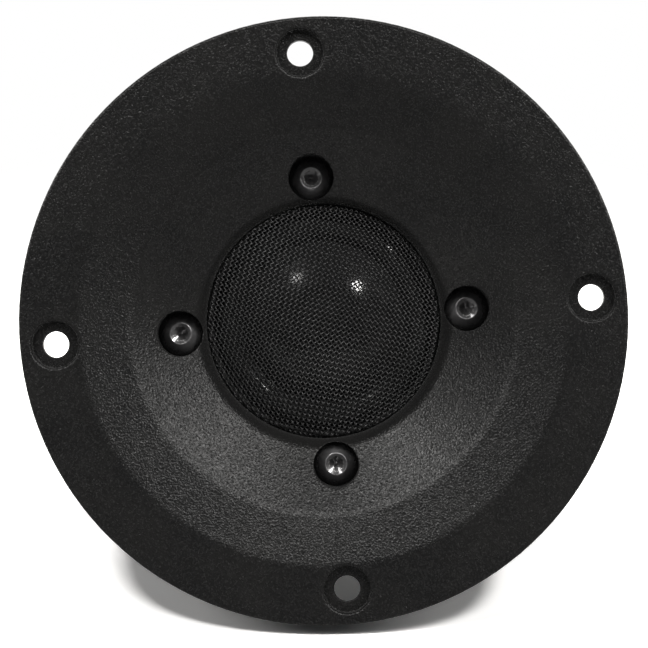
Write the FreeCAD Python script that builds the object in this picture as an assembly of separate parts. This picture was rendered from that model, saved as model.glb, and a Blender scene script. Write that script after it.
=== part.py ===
import FreeCAD, Part
import math
import os
from FreeCAD import Vector

# Dome tweeter with a wide two-angle waveguide faceplate.
#
# Millimetres, +Z up. The acoustic axis is the Y axis and sound leaves towards -Y, the front.
# The origin is on the acoustic axis, in the rear face of the mounting flange, which is the plane
# that lies on the baffle or door panel. Everything behind the flange has y > 0.
# Profiles are drawn as (radius, y) points and turned about the Y axis.
# Angles about the axis count from +X towards +Z.

# ---------------------------------------------------------------- driving dimensions
FLANGE_R = 52.0            # faceplate, 104 mm across
FLANGE_T = 4.0
GROOVE_INNER_R = 48.8      # gasket groove in the rear face of the flange
GROOVE_OUTER_R = 51.0
GROOVE_DEPTH = 0.8
BOLT_R = 46.0              # mounting holes on a 92 mm circle
BOLT_HOLE_R = 2.25         # 4.5 mm clearance holes
CBORE_R = 4.0              # counterbore round each mounting hole
CBORE_DEPTH = 2.0

SHALLOW_R = 42.15          # where the flat flange ends and the shallow slope begins
SHALLOW_DEG = 14.0         # from the flange plane
STEEP_R = 33.2             # where the steep slope begins
STEEP_DEG = 28.0           # from the flange plane
SLOPE_BLEND_R = 5.0        # rounding where each slope begins
LIP_START_R = 22.35        # where the rounded throat lip begins
THROAT_R = 20.45           # clear throat round the grille
HUB_R = 39.5               # body behind the flange, which goes through the baffle
HUB_WALL = 2.5
HUB_REAR = 10.5
BOSS_R = 34.6

SCREW_R = 25.0             # four screws that clamp the faceplate to the motor
SCREW_POCKET_R = 3.95
SCREW_POCKET_FLOOR = 7.8
SCREW_CLEAR_R = 2.2
SCREW_SHANK_R = 2.0        # M4

GRILLE_SPHERE_R = 47.0     # radius of the domed woven grille
GRILLE_EDGE_Y = 6.9
GRILLE_T = 0.5
GRILLE_SKIRT_REAR = 8.4

MOTOR_Y = 12.0             # front face of the top plate
RECESS_R = 22.2            # seat for the diaphragm ring in the back of the faceplate
RECESS_Y = 9.4
SEAT_R = RECESS_R - 0.1    # parts that sit in the recess
SEAT_GASKET_T = 0.3
LEDGE_INNER_R = 18.4       # ledge at the rear of the diaphragm ring
LEDGE_OUTER_R = 20.55
LEDGE_T = 0.65

PIN_CIRCLE_R = 21.32
PIN_R = 0.5
PIN_DEPTH = 1.8            # into the top plate

DOME_R = 14.1              # 28 mm voice coil
DOME_EDGE_Y = 9.5
DOME_H = 6.2
DOME_T = 0.3
DOME_INNER_EDGE_R = DOME_R - 0.2
RIM_Y = 10.6               # flat outer rim of the surround
RIM_T = 0.2

TOP_PLATE_R = 34.0
TOP_PLATE_T = 4.0
TOP_PLATE_BORE_R = 14.95
MAGNET_R = 35.0            # 70 x 32 x 10 ring magnet
MAGNET_BORE_R = 16.0
MAGNET_T = 10.0
BACK_PLATE_R = 33.5
BACK_PLATE_T = 5.0
POLE_R = 13.35
SLEEVE_T = 0.25
VENT_R = 6.0

CUP_R = 27.0
CUP_FLANGE_R = 31.5
CUP_FLANGE_T = 1.9
CUP_REAR = 44.0
CUP_FLOOR_T = 2.0
LABEL_RECESS = 0.6
CUP_SCREW_R = 29.3
CUP_SCREW_CLEAR_R = 1.4
CUP_GASKET_T = 0.8
CUP_GASKET_INNER_R = 24.9

TERMINAL_DEG = 135.0       # where the terminals leave
BLOCK_REAR = 12.9
BLOCK_HALF_DEG = 13
# Blades, drawn along +X: width, sideways offset.
TAB_POSITIVE = (4.8, 4.1)
TAB_NEGATIVE = (2.8, -4.3)
TAB_T = 0.8
TAB_Y = 11.0               # front face of the foot
TAB_LENGTH = 10.5
TAB_OUTER = 38.0           # outer face of the blade
FOOT_INNER = 30.6
FOOT_SHARE = 0.8           # foot width over blade width
SLOT_GAP = 0.03
LEAD_OFFSETS = (3.0, -3.6)  # sideways places of the strips and lead wires
CHANNEL_Y = 10.4           # front face of the lead channel
STRIP_Y = 10.72
STRIP_T = 0.25

OVERCUT = 1.0              # how far cutters run past a face

FRONT = -FLANGE_T
HUB_INNER_R = HUB_R - HUB_WALL
MAGNET_Y = MOTOR_Y + TOP_PLATE_T
BACK_Y = MAGNET_Y + MAGNET_T
CUP_Y = BACK_Y + BACK_PLATE_T
CUP_FRONT = CUP_Y + CUP_GASKET_T
CUP_SEAT_Y = CUP_FRONT + CUP_FLANGE_T
CUP_FLOOR_Y = CUP_REAR - LABEL_RECESS
COIL_FRONT = MOTOR_Y + 0.6
COIL_REAR = MAGNET_Y - 0.6

AXIS = Vector(0, 1, 0)
ORIGIN = Vector(0, 0, 0)

os.makedirs("parts", exist_ok=True)


# ---------------------------------------------------------------- helpers
def save(name, shape):
    shape.exportStep("parts/" + name + ".step")


def point(radius, y):
    return Vector(radius, y, 0)


def arc(start, middle, end):
    return Part.Arc(start, middle, end).toShape()


def chain(points):
    return [Part.makeLine(start, end) for start, end in zip(points, points[1:])]


def rounded_wire(points):
    """Closed wire in the XY plane from (radius, y) or (radius, y, corner radius) points."""
    count = len(points)
    corners = []
    for i in range(count):
        corner = point(*points[i][:2])
        fillet = points[i][2] if len(points[i]) > 2 else 0.0
        if fillet <= 0:
            corners.append((corner, None, corner))
            continue
        back = point(*points[i - 1][:2]) - corner
        ahead = point(*points[(i + 1) % count][:2]) - corner
        back.normalize()
        ahead.normalize()
        half = back.getAngle(ahead) / 2.0
        tangent = fillet / math.tan(half)
        bisector = back + ahead
        bisector.normalize()
        centre = corner + bisector * (fillet / math.sin(half))
        corners.append((corner + back * tangent, centre - bisector * fillet,
                        corner + ahead * tangent))
    edges = []
    for i in range(count):
        start, middle, end = corners[i]
        if middle is not None:
            edges.append(arc(start, middle, end))
        following = corners[(i + 1) % count][0]
        if (following - end).Length > 1e-7:
            edges.append(Part.makeLine(end, following))
    return Part.Wire(edges)


def turned(points):
    """Solid of revolution about the Y axis."""
    return Part.Face(rounded_wire(points)).revolve(ORIGIN, AXIS, 360)


def turned_edges(edges):
    return Part.Face(Part.Wire(edges)).revolve(ORIGIN, AXIS, 360)


def ring(inner, outer, front, rear, edge=0.0):
    return turned([(inner, front, edge), (outer, front, edge),
                   (outer, rear, edge), (inner, rear, edge)])


def disc(radius, front, rear, edge=0.0):
    return turned([(0, front), (radius, front, edge), (radius, rear, edge), (0, rear)])


def rod(radius, front, rear, x, z):
    return Part.makeCylinder(radius, rear - front, Vector(x, front, z), AXIS)


def bar(inner, outer, front, rear, width, offset=0.0):
    """Box that runs from inner to outer along +X, its width centred on z = offset."""
    return Part.makeBox(outer - inner, rear - front, width,
                        Vector(inner, front, offset - width / 2))


def spots(radius, angles):
    """(x, z) places on a circle about the axis."""
    return [(radius * math.cos(math.radians(deg)), radius * math.sin(math.radians(deg)))
            for deg in angles]


def drilled(shape, places, radius, front, rear):
    for x, z in places:
        shape = shape.cut(rod(radius, front, rear, x, z))
    return shape


def at_angle(shape, deg):
    """Turns a shape drawn along +X so that it points to deg."""
    placed = shape.copy()
    placed.rotate(ORIGIN, AXIS, -deg)
    return placed


def at_terminal(shape):
    return at_angle(shape, TERMINAL_DEG)


def sector(inner, outer, front, rear, middle_deg, half_deg):
    """Ring sector about the Y axis."""
    wire = rounded_wire([(inner, front), (outer, front), (outer, rear), (inner, rear)])
    solid = Part.Face(wire).revolve(ORIGIN, AXIS, 2 * half_deg)
    solid.rotate(ORIGIN, AXIS, -(middle_deg + half_deg))
    return solid


def fillet_where(shape, radius, test):
    """Rounds the edges that test picks."""
    picked = [edge for edge in shape.Edges if test(edge)]
    for size in (radius, radius * 0.7, radius * 0.45):
        # Guards against a radius the kernel can't make: a smaller one follows, then none.
        try:
            done = shape.makeFillet(size, picked)
            if done.isValid() and done.Volume > 0:
                return done
        except Exception:
            pass
    return shape


def on_cylinder(edge, x, z, radius, y_max):
    """True if the whole edge lies on a cylinder along Y through (x, z), in front of y_max."""
    first, last = edge.ParameterRange
    for k in range(7):
        sample = edge.valueAt(first + (last - first) * k / 6.0)
        if abs(math.hypot(sample.x - x, sample.z - z) - radius) > 0.02 or sample.y > y_max:
            return False
    return True


def sphere_point(centre_y, sphere_r, radius):
    """Point at this radius on the front of a sphere centred on the axis."""
    return point(radius, centre_y - math.sqrt(sphere_r ** 2 - radius ** 2))


def sphere_arc(centre_y, sphere_r, edge_r):
    """Arc from the apex of a sphere out to edge_r."""
    return arc(*[sphere_point(centre_y, sphere_r, radius) for radius in (0, edge_r / 2, edge_r)])


QUARTERS = [90 * k for k in range(4)]
BOLT_SPOTS = spots(BOLT_R, QUARTERS)
SCREW_SPOTS = spots(SCREW_R, QUARTERS)
PIN_SPOTS = spots(PIN_CIRCLE_R, (45.0, 225.0))
CUP_SCREW_SPOTS = spots(CUP_SCREW_R, [90 + 120 * k for k in range(3)])


# ---------------------------------------------------------------- faceplate
def make_faceplate():
    steep = math.radians(STEEP_DEG)
    steep_y = FRONT + (SHALLOW_R - STEEP_R) * math.tan(math.radians(SHALLOW_DEG))
    # The lip turns from the steep slope to a straight throat with one large convex radius.
    lip_corner_y = steep_y + (STEEP_R - THROAT_R) * math.tan(steep)
    lip_radius = (LIP_START_R - THROAT_R) / (1.0 - math.sin(steep))

    plate = turned([
        (FLANGE_R, FRONT, 0.45),
        (SHALLOW_R, FRONT, SLOPE_BLEND_R),
        (STEEP_R, steep_y, SLOPE_BLEND_R),
        (THROAT_R, lip_corner_y, lip_radius),
        (THROAT_R, RECESS_Y),
        (RECESS_R, RECESS_Y),
        (RECESS_R, MOTOR_Y),
        (BOSS_R, MOTOR_Y, 0.4),
        (BOSS_R, 1.3),
        (HUB_INNER_R, 0.7),
        (HUB_INNER_R, HUB_REAR, 0.5),
        (HUB_R, HUB_REAR, 0.8),
        (HUB_R, 0.0),
        (GROOVE_INNER_R, 0.0),
        (GROOVE_INNER_R, -GROOVE_DEPTH),
        (GROOVE_OUTER_R, -GROOVE_DEPTH),
        (GROOVE_OUTER_R, 0.0),
        (FLANGE_R, 0.0, 0.3),
    ])

    # Radial ribs tie the hub wall to the boss behind the waveguide.
    rib = bar(BOSS_R - 0.4, HUB_INNER_R + 0.6, 0.9, 8.9, 1.4)
    for k in range(8):
        plate = plate.fuse(at_angle(rib, 22.5 + 45 * k))

    # Cored-out pockets keep the boss walls even in thickness.
    for deg in QUARTERS:
        plate = plate.cut(sector(27.2, 32.4, 5.2, MOTOR_Y + OVERCUT, 45 + deg, 27))

    # Counterbored mounting holes.
    for x, z in BOLT_SPOTS:
        plate = plate.cut(rod(CBORE_R, FRONT - OVERCUT, FRONT + CBORE_DEPTH, x, z))
        plate = plate.cut(rod(BOLT_HOLE_R, FRONT - OVERCUT, OVERCUT, x, z))

    # Pockets and clearance holes for the four screws.
    for x, z in SCREW_SPOTS:
        plate = plate.cut(rod(SCREW_POCKET_R, FRONT - OVERCUT, SCREW_POCKET_FLOOR, x, z))
        plate = plate.cut(rod(SCREW_CLEAR_R, SCREW_POCKET_FLOOR - OVERCUT,
                              MOTOR_Y + OVERCUT, x, z))

    # Channel for the lead strips, through the boss to the terminals.
    channel = bar(21.2, 36.6, CHANNEL_Y, MOTOR_Y + OVERCUT, 13.0)
    plate = plate.cut(at_terminal(channel)).removeSplitter()

    # Rounded front rims of the counterbores.
    for x, z in BOLT_SPOTS:
        plate = fillet_where(plate, 0.5, lambda edge: on_cylinder(edge, x, z, CBORE_R, -2.5))
    return plate


save("faceplate", make_faceplate())

# Foam ring in the groove of the flange, shown at its clamped thickness.
save("flange_gasket", ring(GROOVE_INNER_R + 0.05, GROOVE_OUTER_R - 0.05,
                           -GROOVE_DEPTH + 0.02, -0.02, 0.15))


# ---------------------------------------------------------------- screws
CROWN_HALF_DEG = 11.75     # half the angle of the crown's arc
LAND_EDGE_R = 0.32         # rounding between the land and the crown


def hex_prism(across_flats, front, rear):
    radius = across_flats / math.sqrt(3.0)
    corners = [Vector(x, front, z)
               for x, z in spots(radius, [60 * k + 30 for k in range(7)])]
    return Part.Face(Part.makePolygon(corners)).extrude(Vector(0, rear - front, 0))


def button_screw(head_r, head_h, rim_h, land_r, sink_r, across_flats, socket_depth,
                 shank_r, length, pitch):
    """Socket button screw on the Y axis: underside of the head at y = 0, head towards -Y.

    The crown is a shallow arc from a narrow flat land down to the rim, with the land's edge
    rounded. The thread is a row of separate grooves.
    """
    land = point(land_r, -head_h)
    rim = point(head_r, -rim_h)
    chord = rim - land
    half = math.radians(CROWN_HALF_DEG)
    crown_r = chord.Length / (2 * math.sin(half))
    slope = math.atan2(chord.y, chord.x) - half    # of the crown where it meets the land
    tangent = LAND_EDGE_R * math.tan(slope / 2)
    round_start = point(land_r - tangent, -head_h)
    round_end = point(land_r + tangent * math.cos(slope), -head_h + tangent * math.sin(slope))
    round_middle = point(round_start.x + LAND_EDGE_R * math.sin(slope / 2),
                         -head_h + LAND_EDGE_R * (1 - math.cos(slope / 2)))
    normal = point(chord.y, -chord.x)
    normal.normalize()
    crown_middle = land + chord * 0.5 + normal * crown_r * (1 - math.cos(half))

    core_r = shank_r - 0.61 * pitch
    thread_start = 0.9
    outline = [(head_r, 0), (shank_r, 0), (shank_r, thread_start)]
    y = thread_start
    while y + pitch < length - 0.4:
        outline += [(core_r, y + pitch * 0.45), (core_r, y + pitch * 0.55), (shank_r, y + pitch)]
        y += pitch
    outline += [(shank_r, length - 0.35), (shank_r - 0.35, length), (0, length), (0, -head_h)]
    outline = [point(*pair) for pair in outline]
    screw = turned_edges([
        Part.makeLine(point(0, -head_h), round_start),
        arc(round_start, round_middle, round_end),
        arc(round_end, crown_middle, rim),
        Part.makeLine(rim, outline[0]),
    ] + chain(outline))

    # Countersunk mouth, hexagonal socket and conical socket bottom.
    flat = across_flats / 2.0
    tan30 = math.tan(math.radians(30))
    above = -head_h - 0.3
    sink_y = -head_h + (sink_r - flat) * tan30
    screw = screw.cut(turned([(0, above), (sink_r + 0.3 / tan30, above),
                              (flat, sink_y), (0, sink_y)]))
    bottom = -head_h + socket_depth
    screw = screw.cut(hex_prism(across_flats, above, bottom))
    cone_r = flat - 0.01
    return screw.cut(turned([(0, bottom - 0.01), (cone_r, bottom - 0.01),
                             (0, bottom + cone_r * tan30)]))


def placed_screws(screw, places, twists, seat_y, head_to_rear=False):
    """Copies of a screw, each with its socket turned by its own twist in degrees."""
    screws = []
    for (x, z), twist in zip(places, twists):
        placed = screw.copy()
        placed.rotate(ORIGIN, AXIS, twist)
        if head_to_rear:
            placed.rotate(ORIGIN, Vector(0, 0, 1), 180)
        placed.translate(Vector(x, seat_y, z))
        screws.append(placed)
    return Part.makeCompound(screws)


m4_screw = button_screw(head_r=3.75, head_h=2.2, rim_h=0.35, land_r=1.92, sink_r=1.8,
                        across_flats=2.5, socket_depth=1.45, shank_r=SCREW_SHANK_R,
                        length=8.0, pitch=0.7)
save("faceplate_screws",
     placed_screws(m4_screw, SCREW_SPOTS, (12, 47, 25, 3), SCREW_POCKET_FLOOR))

m25_screw = button_screw(head_r=2.3, head_h=1.35, rim_h=0.25, land_r=1.2, sink_r=1.1,
                         across_flats=1.5, socket_depth=0.8, shank_r=1.25,
                         length=6.0, pitch=0.45)
save("rear_cup_screws",
     placed_screws(m25_screw, CUP_SCREW_SPOTS, (8, 31, 50), CUP_SEAT_Y, head_to_rear=True))


# ---------------------------------------------------------------- grille
def make_grille():
    """Domed cap with a short straight skirt, open at the back."""
    edge_r = THROAT_R - 0.05
    centre_y = GRILLE_EDGE_Y + math.sqrt(GRILLE_SPHERE_R ** 2 - edge_r ** 2)
    inner_sphere_r = GRILLE_SPHERE_R - GRILLE_T
    inner_edge_r = edge_r - GRILLE_T
    skirt = [
        point(edge_r, GRILLE_EDGE_Y),
        point(edge_r, GRILLE_SKIRT_REAR),
        point(inner_edge_r, GRILLE_SKIRT_REAR),
        sphere_point(centre_y, inner_sphere_r, inner_edge_r),
    ]
    return turned_edges(
        [sphere_arc(centre_y, GRILLE_SPHERE_R, edge_r)]
        + chain(skirt)
        + [arc(skirt[-1], sphere_point(centre_y, inner_sphere_r, inner_edge_r / 2),
               sphere_point(centre_y, inner_sphere_r, 0)),
           Part.makeLine(sphere_point(centre_y, inner_sphere_r, 0),
                         sphere_point(centre_y, GRILLE_SPHERE_R, 0))])


save("grille_mesh", make_grille())
save("grille_retaining_ring",
     ring(19.35, THROAT_R - 0.02, GRILLE_SKIRT_REAR, RECESS_Y - 0.05, 0.12))


# ---------------------------------------------------------------- diaphragm seat, fixed parts
def make_diaphragm_ring():
    front = RECESS_Y + SEAT_GASKET_T
    seat = turned([
        (LEDGE_OUTER_R, front, 0.15),
        (SEAT_R, front, 0.15),
        (SEAT_R, MOTOR_Y),
        (LEDGE_INNER_R, MOTOR_Y),
        (LEDGE_INNER_R, MOTOR_Y - LEDGE_T),
        (LEDGE_OUTER_R, MOTOR_Y - LEDGE_T),
    ])
    # Notch in the ledge at the terminals.
    seat = seat.cut(at_terminal(bar(16.0, 24.0, CHANNEL_Y, CHANNEL_Y + 3.0, 9.0)))
    return drilled(seat, PIN_SPOTS, PIN_R + 0.04, 9.0, MOTOR_Y + OVERCUT)


def make_alignment_pins():
    front = 10.1
    rear = MOTOR_Y + PIN_DEPTH
    pins = []
    for x, z in PIN_SPOTS:
        pin = turned([(0, front), (PIN_R, front, 0.2), (PIN_R, rear), (0, rear)])
        pin.translate(Vector(x, 0, z))
        pins.append(pin)
    return Part.makeCompound(pins)


save("diaphragm_gasket", ring(20.65, SEAT_R, RECESS_Y, RECESS_Y + SEAT_GASKET_T))
save("diaphragm_ring", make_diaphragm_ring())
save("alignment_pins", make_alignment_pins())


# ---------------------------------------------------------------- terminals
def make_tab(width, offset):
    """Push-on blade: a foot in the lead channel, a bend, and a blade that stands rearwards."""
    tip_y = TAB_Y + TAB_LENGTH
    foot = bar(FOOT_INNER, TAB_OUTER, TAB_Y, TAB_Y + TAB_T, width * FOOT_SHARE, offset)
    blade = bar(TAB_OUTER - TAB_T, TAB_OUTER, TAB_Y, tip_y, width, offset)
    solid = foot.fuse(blade).removeSplitter()

    def near_tip(edge, reach):
        ends = [vertex.Point for vertex in edge.Vertexes]
        return len(ends) == 2 and all(abs(end.y - tip_y) < reach for end in ends)

    def x_span(edge):
        return abs(edge.Vertexes[0].Point.x - edge.Vertexes[1].Point.x)

    # Each chamfer is left out if the kernel can't make it.
    try:
        solid = solid.makeChamfer(0.25, [edge for edge in solid.Edges
                                         if near_tip(edge, 1e-6) and x_span(edge) < 1e-6])
    except Exception:
        pass
    corners = [edge for edge in solid.Edges if near_tip(edge, 0.3) and x_span(edge) > 0.2]
    try:
        solid = solid.makeChamfer(min(0.7, width * 0.2), corners)
    except Exception:
        pass
    hole = Part.makeCylinder(0.7, 4, Vector(36, tip_y - 2.9, offset), Vector(1, 0, 0))
    return at_terminal(solid.cut(hole))


def make_slot(width, offset):
    """Cutter that clears a tab in the terminal block."""
    front = TAB_Y - SLOT_GAP
    foot = bar(33.0, 38.04, front, TAB_Y + TAB_T + SLOT_GAP,
               width * FOOT_SHARE + 2 * SLOT_GAP, offset)
    blade = bar(TAB_OUTER - TAB_T - SLOT_GAP, TAB_OUTER + SLOT_GAP, front, front + 12.0,
                width + 2 * SLOT_GAP, offset)
    return at_terminal(foot.fuse(blade))


def make_terminal_block():
    block = sector(34.75, 39.2, HUB_REAR + 0.02, BLOCK_REAR, TERMINAL_DEG, BLOCK_HALF_DEG)
    # Rounds the long edges of the rear face.
    block = fillet_where(block, 0.35, lambda edge: edge.Length > 3.0 and all(
        vertex.Point.y > 12.5 for vertex in edge.Vertexes))
    for width, offset in (TAB_POSITIVE, TAB_NEGATIVE):
        block = block.cut(make_slot(width, offset))
    # Raised polarity dot beside the wider, positive blade.
    dot = rod(0.7, BLOCK_REAR - 0.01, BLOCK_REAR + 0.34, 35.6, TAB_POSITIVE[1])
    return block.fuse(at_terminal(dot))


def make_solder_beads():
    """Half-round beads at the inner ends of the strips and just short of the tab feet."""
    beads = []
    for offset in LEAD_OFFSETS:
        for x, radius in ((21.45, 0.5), (30.1, 0.42)):
            centre = Vector(x, STRIP_Y + STRIP_T + 0.01, offset)
            beads.append(at_terminal(Part.makeSphere(radius, centre, AXIS, 0, 90, 360)))
    return Part.makeCompound(beads)


save("terminal_block", make_terminal_block())
save("terminal_tab_positive", make_tab(*TAB_POSITIVE))
save("terminal_tab_negative", make_tab(*TAB_NEGATIVE))
save("terminal_strips", Part.makeCompound([
    at_terminal(bar(20.75, 32.4, STRIP_Y, STRIP_Y + STRIP_T, 1.3, offset))
    for offset in LEAD_OFFSETS]))
save("solder_beads", make_solder_beads())


# ---------------------------------------------------------------- motor
def make_top_plate():
    plate = turned([
        (TOP_PLATE_BORE_R, MOTOR_Y),
        (TOP_PLATE_R, MOTOR_Y, 0.4),
        (TOP_PLATE_R, MAGNET_Y, 0.4),
        (TOP_PLATE_BORE_R, MAGNET_Y),
    ])
    front = MOTOR_Y - OVERCUT
    plate = drilled(plate, SCREW_SPOTS, SCREW_SHANK_R + 0.03, front, MAGNET_Y + OVERCUT)
    return drilled(plate, PIN_SPOTS, PIN_R + 0.02, front, MOTOR_Y + PIN_DEPTH + 0.05)


def make_t_yoke():
    """Pole and back plate in one piece, with a vent bore on the axis."""
    yoke = turned([
        (VENT_R, MOTOR_Y, 1.2),
        (POLE_R, MOTOR_Y, 0.3),
        (POLE_R, BACK_Y, 0.4),
        (BACK_PLATE_R, BACK_Y, 0.3),
        (BACK_PLATE_R, CUP_Y, 0.9),
        (VENT_R, CUP_Y, 0.6),
    ])
    return drilled(yoke, CUP_SCREW_SPOTS, 1.28, BACK_Y + 0.6, CUP_Y + OVERCUT)


def make_surround_felt():
    """Ring that is open where the lead wires pass."""
    felt = ring(15.3, 17.8, MOTOR_Y - 0.6, MOTOR_Y, 0.2)
    return felt.cut(at_terminal(bar(14.4, 19.4, CHANNEL_Y, CHANNEL_Y + 3.0, 9.4)))


save("top_plate", make_top_plate())
save("ferrite_magnet", ring(MAGNET_BORE_R, MAGNET_R, MAGNET_Y, BACK_Y, 0.7))
save("t_yoke", make_t_yoke())
save("copper_sleeve", ring(POLE_R + 0.01, POLE_R + SLEEVE_T, MOTOR_Y + 0.35, MOTOR_Y + 9.0))
save("pole_felt", ring(7.4, 12.6, MOTOR_Y - 1.1, MOTOR_Y, 0.3))
save("surround_felt", make_surround_felt())
save("vent_plug", disc(VENT_R - 0.05, BACK_Y - 3.0, CUP_Y - 0.8, 0.5))


# ---------------------------------------------------------------- rear chamber
def make_rear_cup():
    inner_floor_y = CUP_FLOOR_Y - CUP_FLOOR_T
    cup = turned([
        (CUP_GASKET_INNER_R, CUP_FRONT),
        (CUP_FLANGE_R, CUP_FRONT),
        (CUP_FLANGE_R, CUP_SEAT_Y, 0.6),
        (CUP_R, CUP_SEAT_Y, 1.2),
        (CUP_R - 0.7, CUP_REAR, 2.4),
        (21.0, CUP_REAR, 0.4),
        (20.4, CUP_FLOOR_Y, 0.4),
        (0, CUP_FLOOR_Y),
        (0, inner_floor_y),
        (24.4, inner_floor_y, 1.2),
    ])
    # Room for each screw head, then its clearance hole.
    for x, z in CUP_SCREW_SPOTS:
        cup = cup.cut(rod(2.75, CUP_SEAT_Y, CUP_REAR + OVERCUT, x, z))
        cup = cup.cut(rod(CUP_SCREW_CLEAR_R, CUP_FRONT - OVERCUT, CUP_FRONT + 3, x, z))
    # Six shallow ribs round the side of the cup stiffen the moulding.
    rib = bar(CUP_R - 1.0, CUP_R + 0.4, CUP_FRONT + 1.5, CUP_FRONT + 9.9, 1.2)
    for k in range(6):
        cup = cup.fuse(at_angle(rib, 60 * k))
    return cup.removeSplitter()


save("rear_cup", make_rear_cup())
save("rear_cup_gasket", drilled(ring(CUP_GASKET_INNER_R, 31.2, CUP_Y, CUP_FRONT),
                                CUP_SCREW_SPOTS, CUP_SCREW_CLEAR_R,
                                CUP_Y - OVERCUT, CUP_Y + 2))
# Blank paper label in the shallow recess of the cup.
save("rear_label", disc(19.8, CUP_FLOOR_Y + 0.02, CUP_REAR - 0.4))
save("chamber_wadding", disc(24.0, CUP_Y + 1.2, CUP_REAR - 3.0, 2.5))


# ---------------------------------------------------------------- moving assembly
dome_sphere_r = (DOME_R ** 2 + DOME_H ** 2) / (2 * DOME_H)
dome_centre_y = DOME_EDGE_Y - DOME_H + dome_sphere_r
dome_inner_r = dome_sphere_r - DOME_T
dome_inner_edge = sphere_point(dome_centre_y, dome_inner_r, DOME_INNER_EDGE_R)


def make_dome():
    outer_apex = sphere_point(dome_centre_y, dome_sphere_r, 0)
    inner_apex = sphere_point(dome_centre_y, dome_inner_r, 0)
    edge = [
        sphere_point(dome_centre_y, dome_sphere_r, DOME_R),
        point(DOME_R, dome_inner_edge.y),
        dome_inner_edge,
    ]
    return turned_edges(
        [sphere_arc(dome_centre_y, dome_sphere_r, DOME_R)]
        + chain(edge)
        + [arc(dome_inner_edge, sphere_point(dome_centre_y, dome_inner_r, DOME_R / 2),
               inner_apex),
           Part.makeLine(inner_apex, outer_apex)])


def make_surround():
    """Half-roll whose flat rim stands clear in front of the diaphragm ring's ledge."""
    foot_r = DOME_R + 0.02
    foot_rear = DOME_EDGE_Y + 0.12
    roll_start = point(foot_r, DOME_EDGE_Y - 0.1)
    roll_end = point(18.5, RIM_Y)
    inner_start = point(18.28, RIM_Y + RIM_T)
    inner_end = point(DOME_R + 0.22, foot_rear)
    return turned_edges(
        [arc(roll_start, point(16.3, 8.1), roll_end)]
        + chain([roll_end, point(20.2, RIM_Y), point(20.2, RIM_Y + RIM_T), inner_start])
        + [arc(inner_start, point(16.3, 8.32), inner_end)]
        + chain([inner_end, point(foot_r, foot_rear), roll_start]))


def make_lead_wires():
    """Wires from the front of the winding out behind the surround."""
    wire_r = 0.1
    bend_r = 0.4
    bend_middle = 0.117    # distance of the bend's middle point from both straight runs
    run_y = RIM_Y + RIM_T + wire_r + 0.02
    leads = []
    for offset in LEAD_OFFSETS:
        x = math.sqrt((DOME_R + 0.15) ** 2 - offset ** 2)
        start = Vector(x, COIL_FRONT - 0.02, offset)
        bend_start = Vector(x, run_y + bend_r, offset)
        bend_end = Vector(x + bend_r, run_y, offset)
        path = Part.Wire([
            Part.makeLine(start, bend_start),
            arc(bend_start, Vector(x + bend_middle, run_y + bend_middle, offset), bend_end),
            Part.makeLine(bend_end, Vector(math.sqrt(20.1 ** 2 - offset ** 2), run_y, offset)),
        ])
        section = Part.Wire([Part.makeCircle(wire_r, start, Vector(0, -1, 0))])
        leads.append(at_terminal(path.makePipeShell([section], True, True)))
    return Part.makeCompound(leads)


save("dome", make_dome())
save("surround", make_surround())
save("coil_former", ring(DOME_R - 0.15, DOME_R, dome_inner_edge.y + 0.02, MAGNET_Y + 0.8))
save("voice_coil", ring(DOME_R + 0.005, DOME_R + 0.44, COIL_FRONT, COIL_REAR, 0.1))
save("lead_wires", make_lead_wires())
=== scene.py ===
"""Dome tweeter with a woven wire grille, a ferrite motor and a rear chamber.

Its axis is Y: the faceplate looks towards -Y and the rear cup is at +Y. The terminals leave
towards -X +Z. Pieces are drawn in millimetres and stored in metres; the stage is in metres.
"""
import math

import bmesh
import bpy
import numpy as np
from mathutils import Matrix, Vector
from mathutils.noise import fractal, noise as smooth_noise


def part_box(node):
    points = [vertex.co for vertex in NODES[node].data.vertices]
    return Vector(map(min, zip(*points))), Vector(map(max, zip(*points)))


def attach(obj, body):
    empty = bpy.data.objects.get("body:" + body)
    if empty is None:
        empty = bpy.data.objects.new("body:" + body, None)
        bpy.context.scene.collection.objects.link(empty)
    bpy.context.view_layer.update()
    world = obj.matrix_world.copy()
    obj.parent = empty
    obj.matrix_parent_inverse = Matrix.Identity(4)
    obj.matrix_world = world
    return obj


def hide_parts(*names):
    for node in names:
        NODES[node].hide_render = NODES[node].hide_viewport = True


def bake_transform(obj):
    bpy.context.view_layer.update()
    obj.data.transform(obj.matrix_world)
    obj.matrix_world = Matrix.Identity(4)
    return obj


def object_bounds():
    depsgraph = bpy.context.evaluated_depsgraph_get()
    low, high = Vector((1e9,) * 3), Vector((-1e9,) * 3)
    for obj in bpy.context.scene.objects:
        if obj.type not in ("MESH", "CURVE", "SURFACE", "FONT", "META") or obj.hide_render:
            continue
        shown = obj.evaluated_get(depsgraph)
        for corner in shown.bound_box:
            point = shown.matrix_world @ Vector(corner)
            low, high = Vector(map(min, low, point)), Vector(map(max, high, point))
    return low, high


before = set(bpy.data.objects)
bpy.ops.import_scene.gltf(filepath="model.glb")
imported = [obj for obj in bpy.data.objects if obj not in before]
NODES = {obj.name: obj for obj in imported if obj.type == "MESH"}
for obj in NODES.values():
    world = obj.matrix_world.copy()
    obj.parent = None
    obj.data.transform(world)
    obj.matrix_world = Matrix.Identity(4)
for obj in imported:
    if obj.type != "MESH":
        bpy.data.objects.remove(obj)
cad_lo, cad_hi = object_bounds()
MM = 0.001
TERMINAL_ANGLE = math.radians(135.0)


# ------------------------------------------------------------------ geometry helpers
def extent(node):
    """Outer radius, front y and rear y of a CAD piece, in mm."""
    lo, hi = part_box(node)
    return hi.x / MM, lo.y / MM, hi.y / MM


def polar_point(angle, r, y):
    return (r * math.cos(angle), y, r * math.sin(angle))


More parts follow.
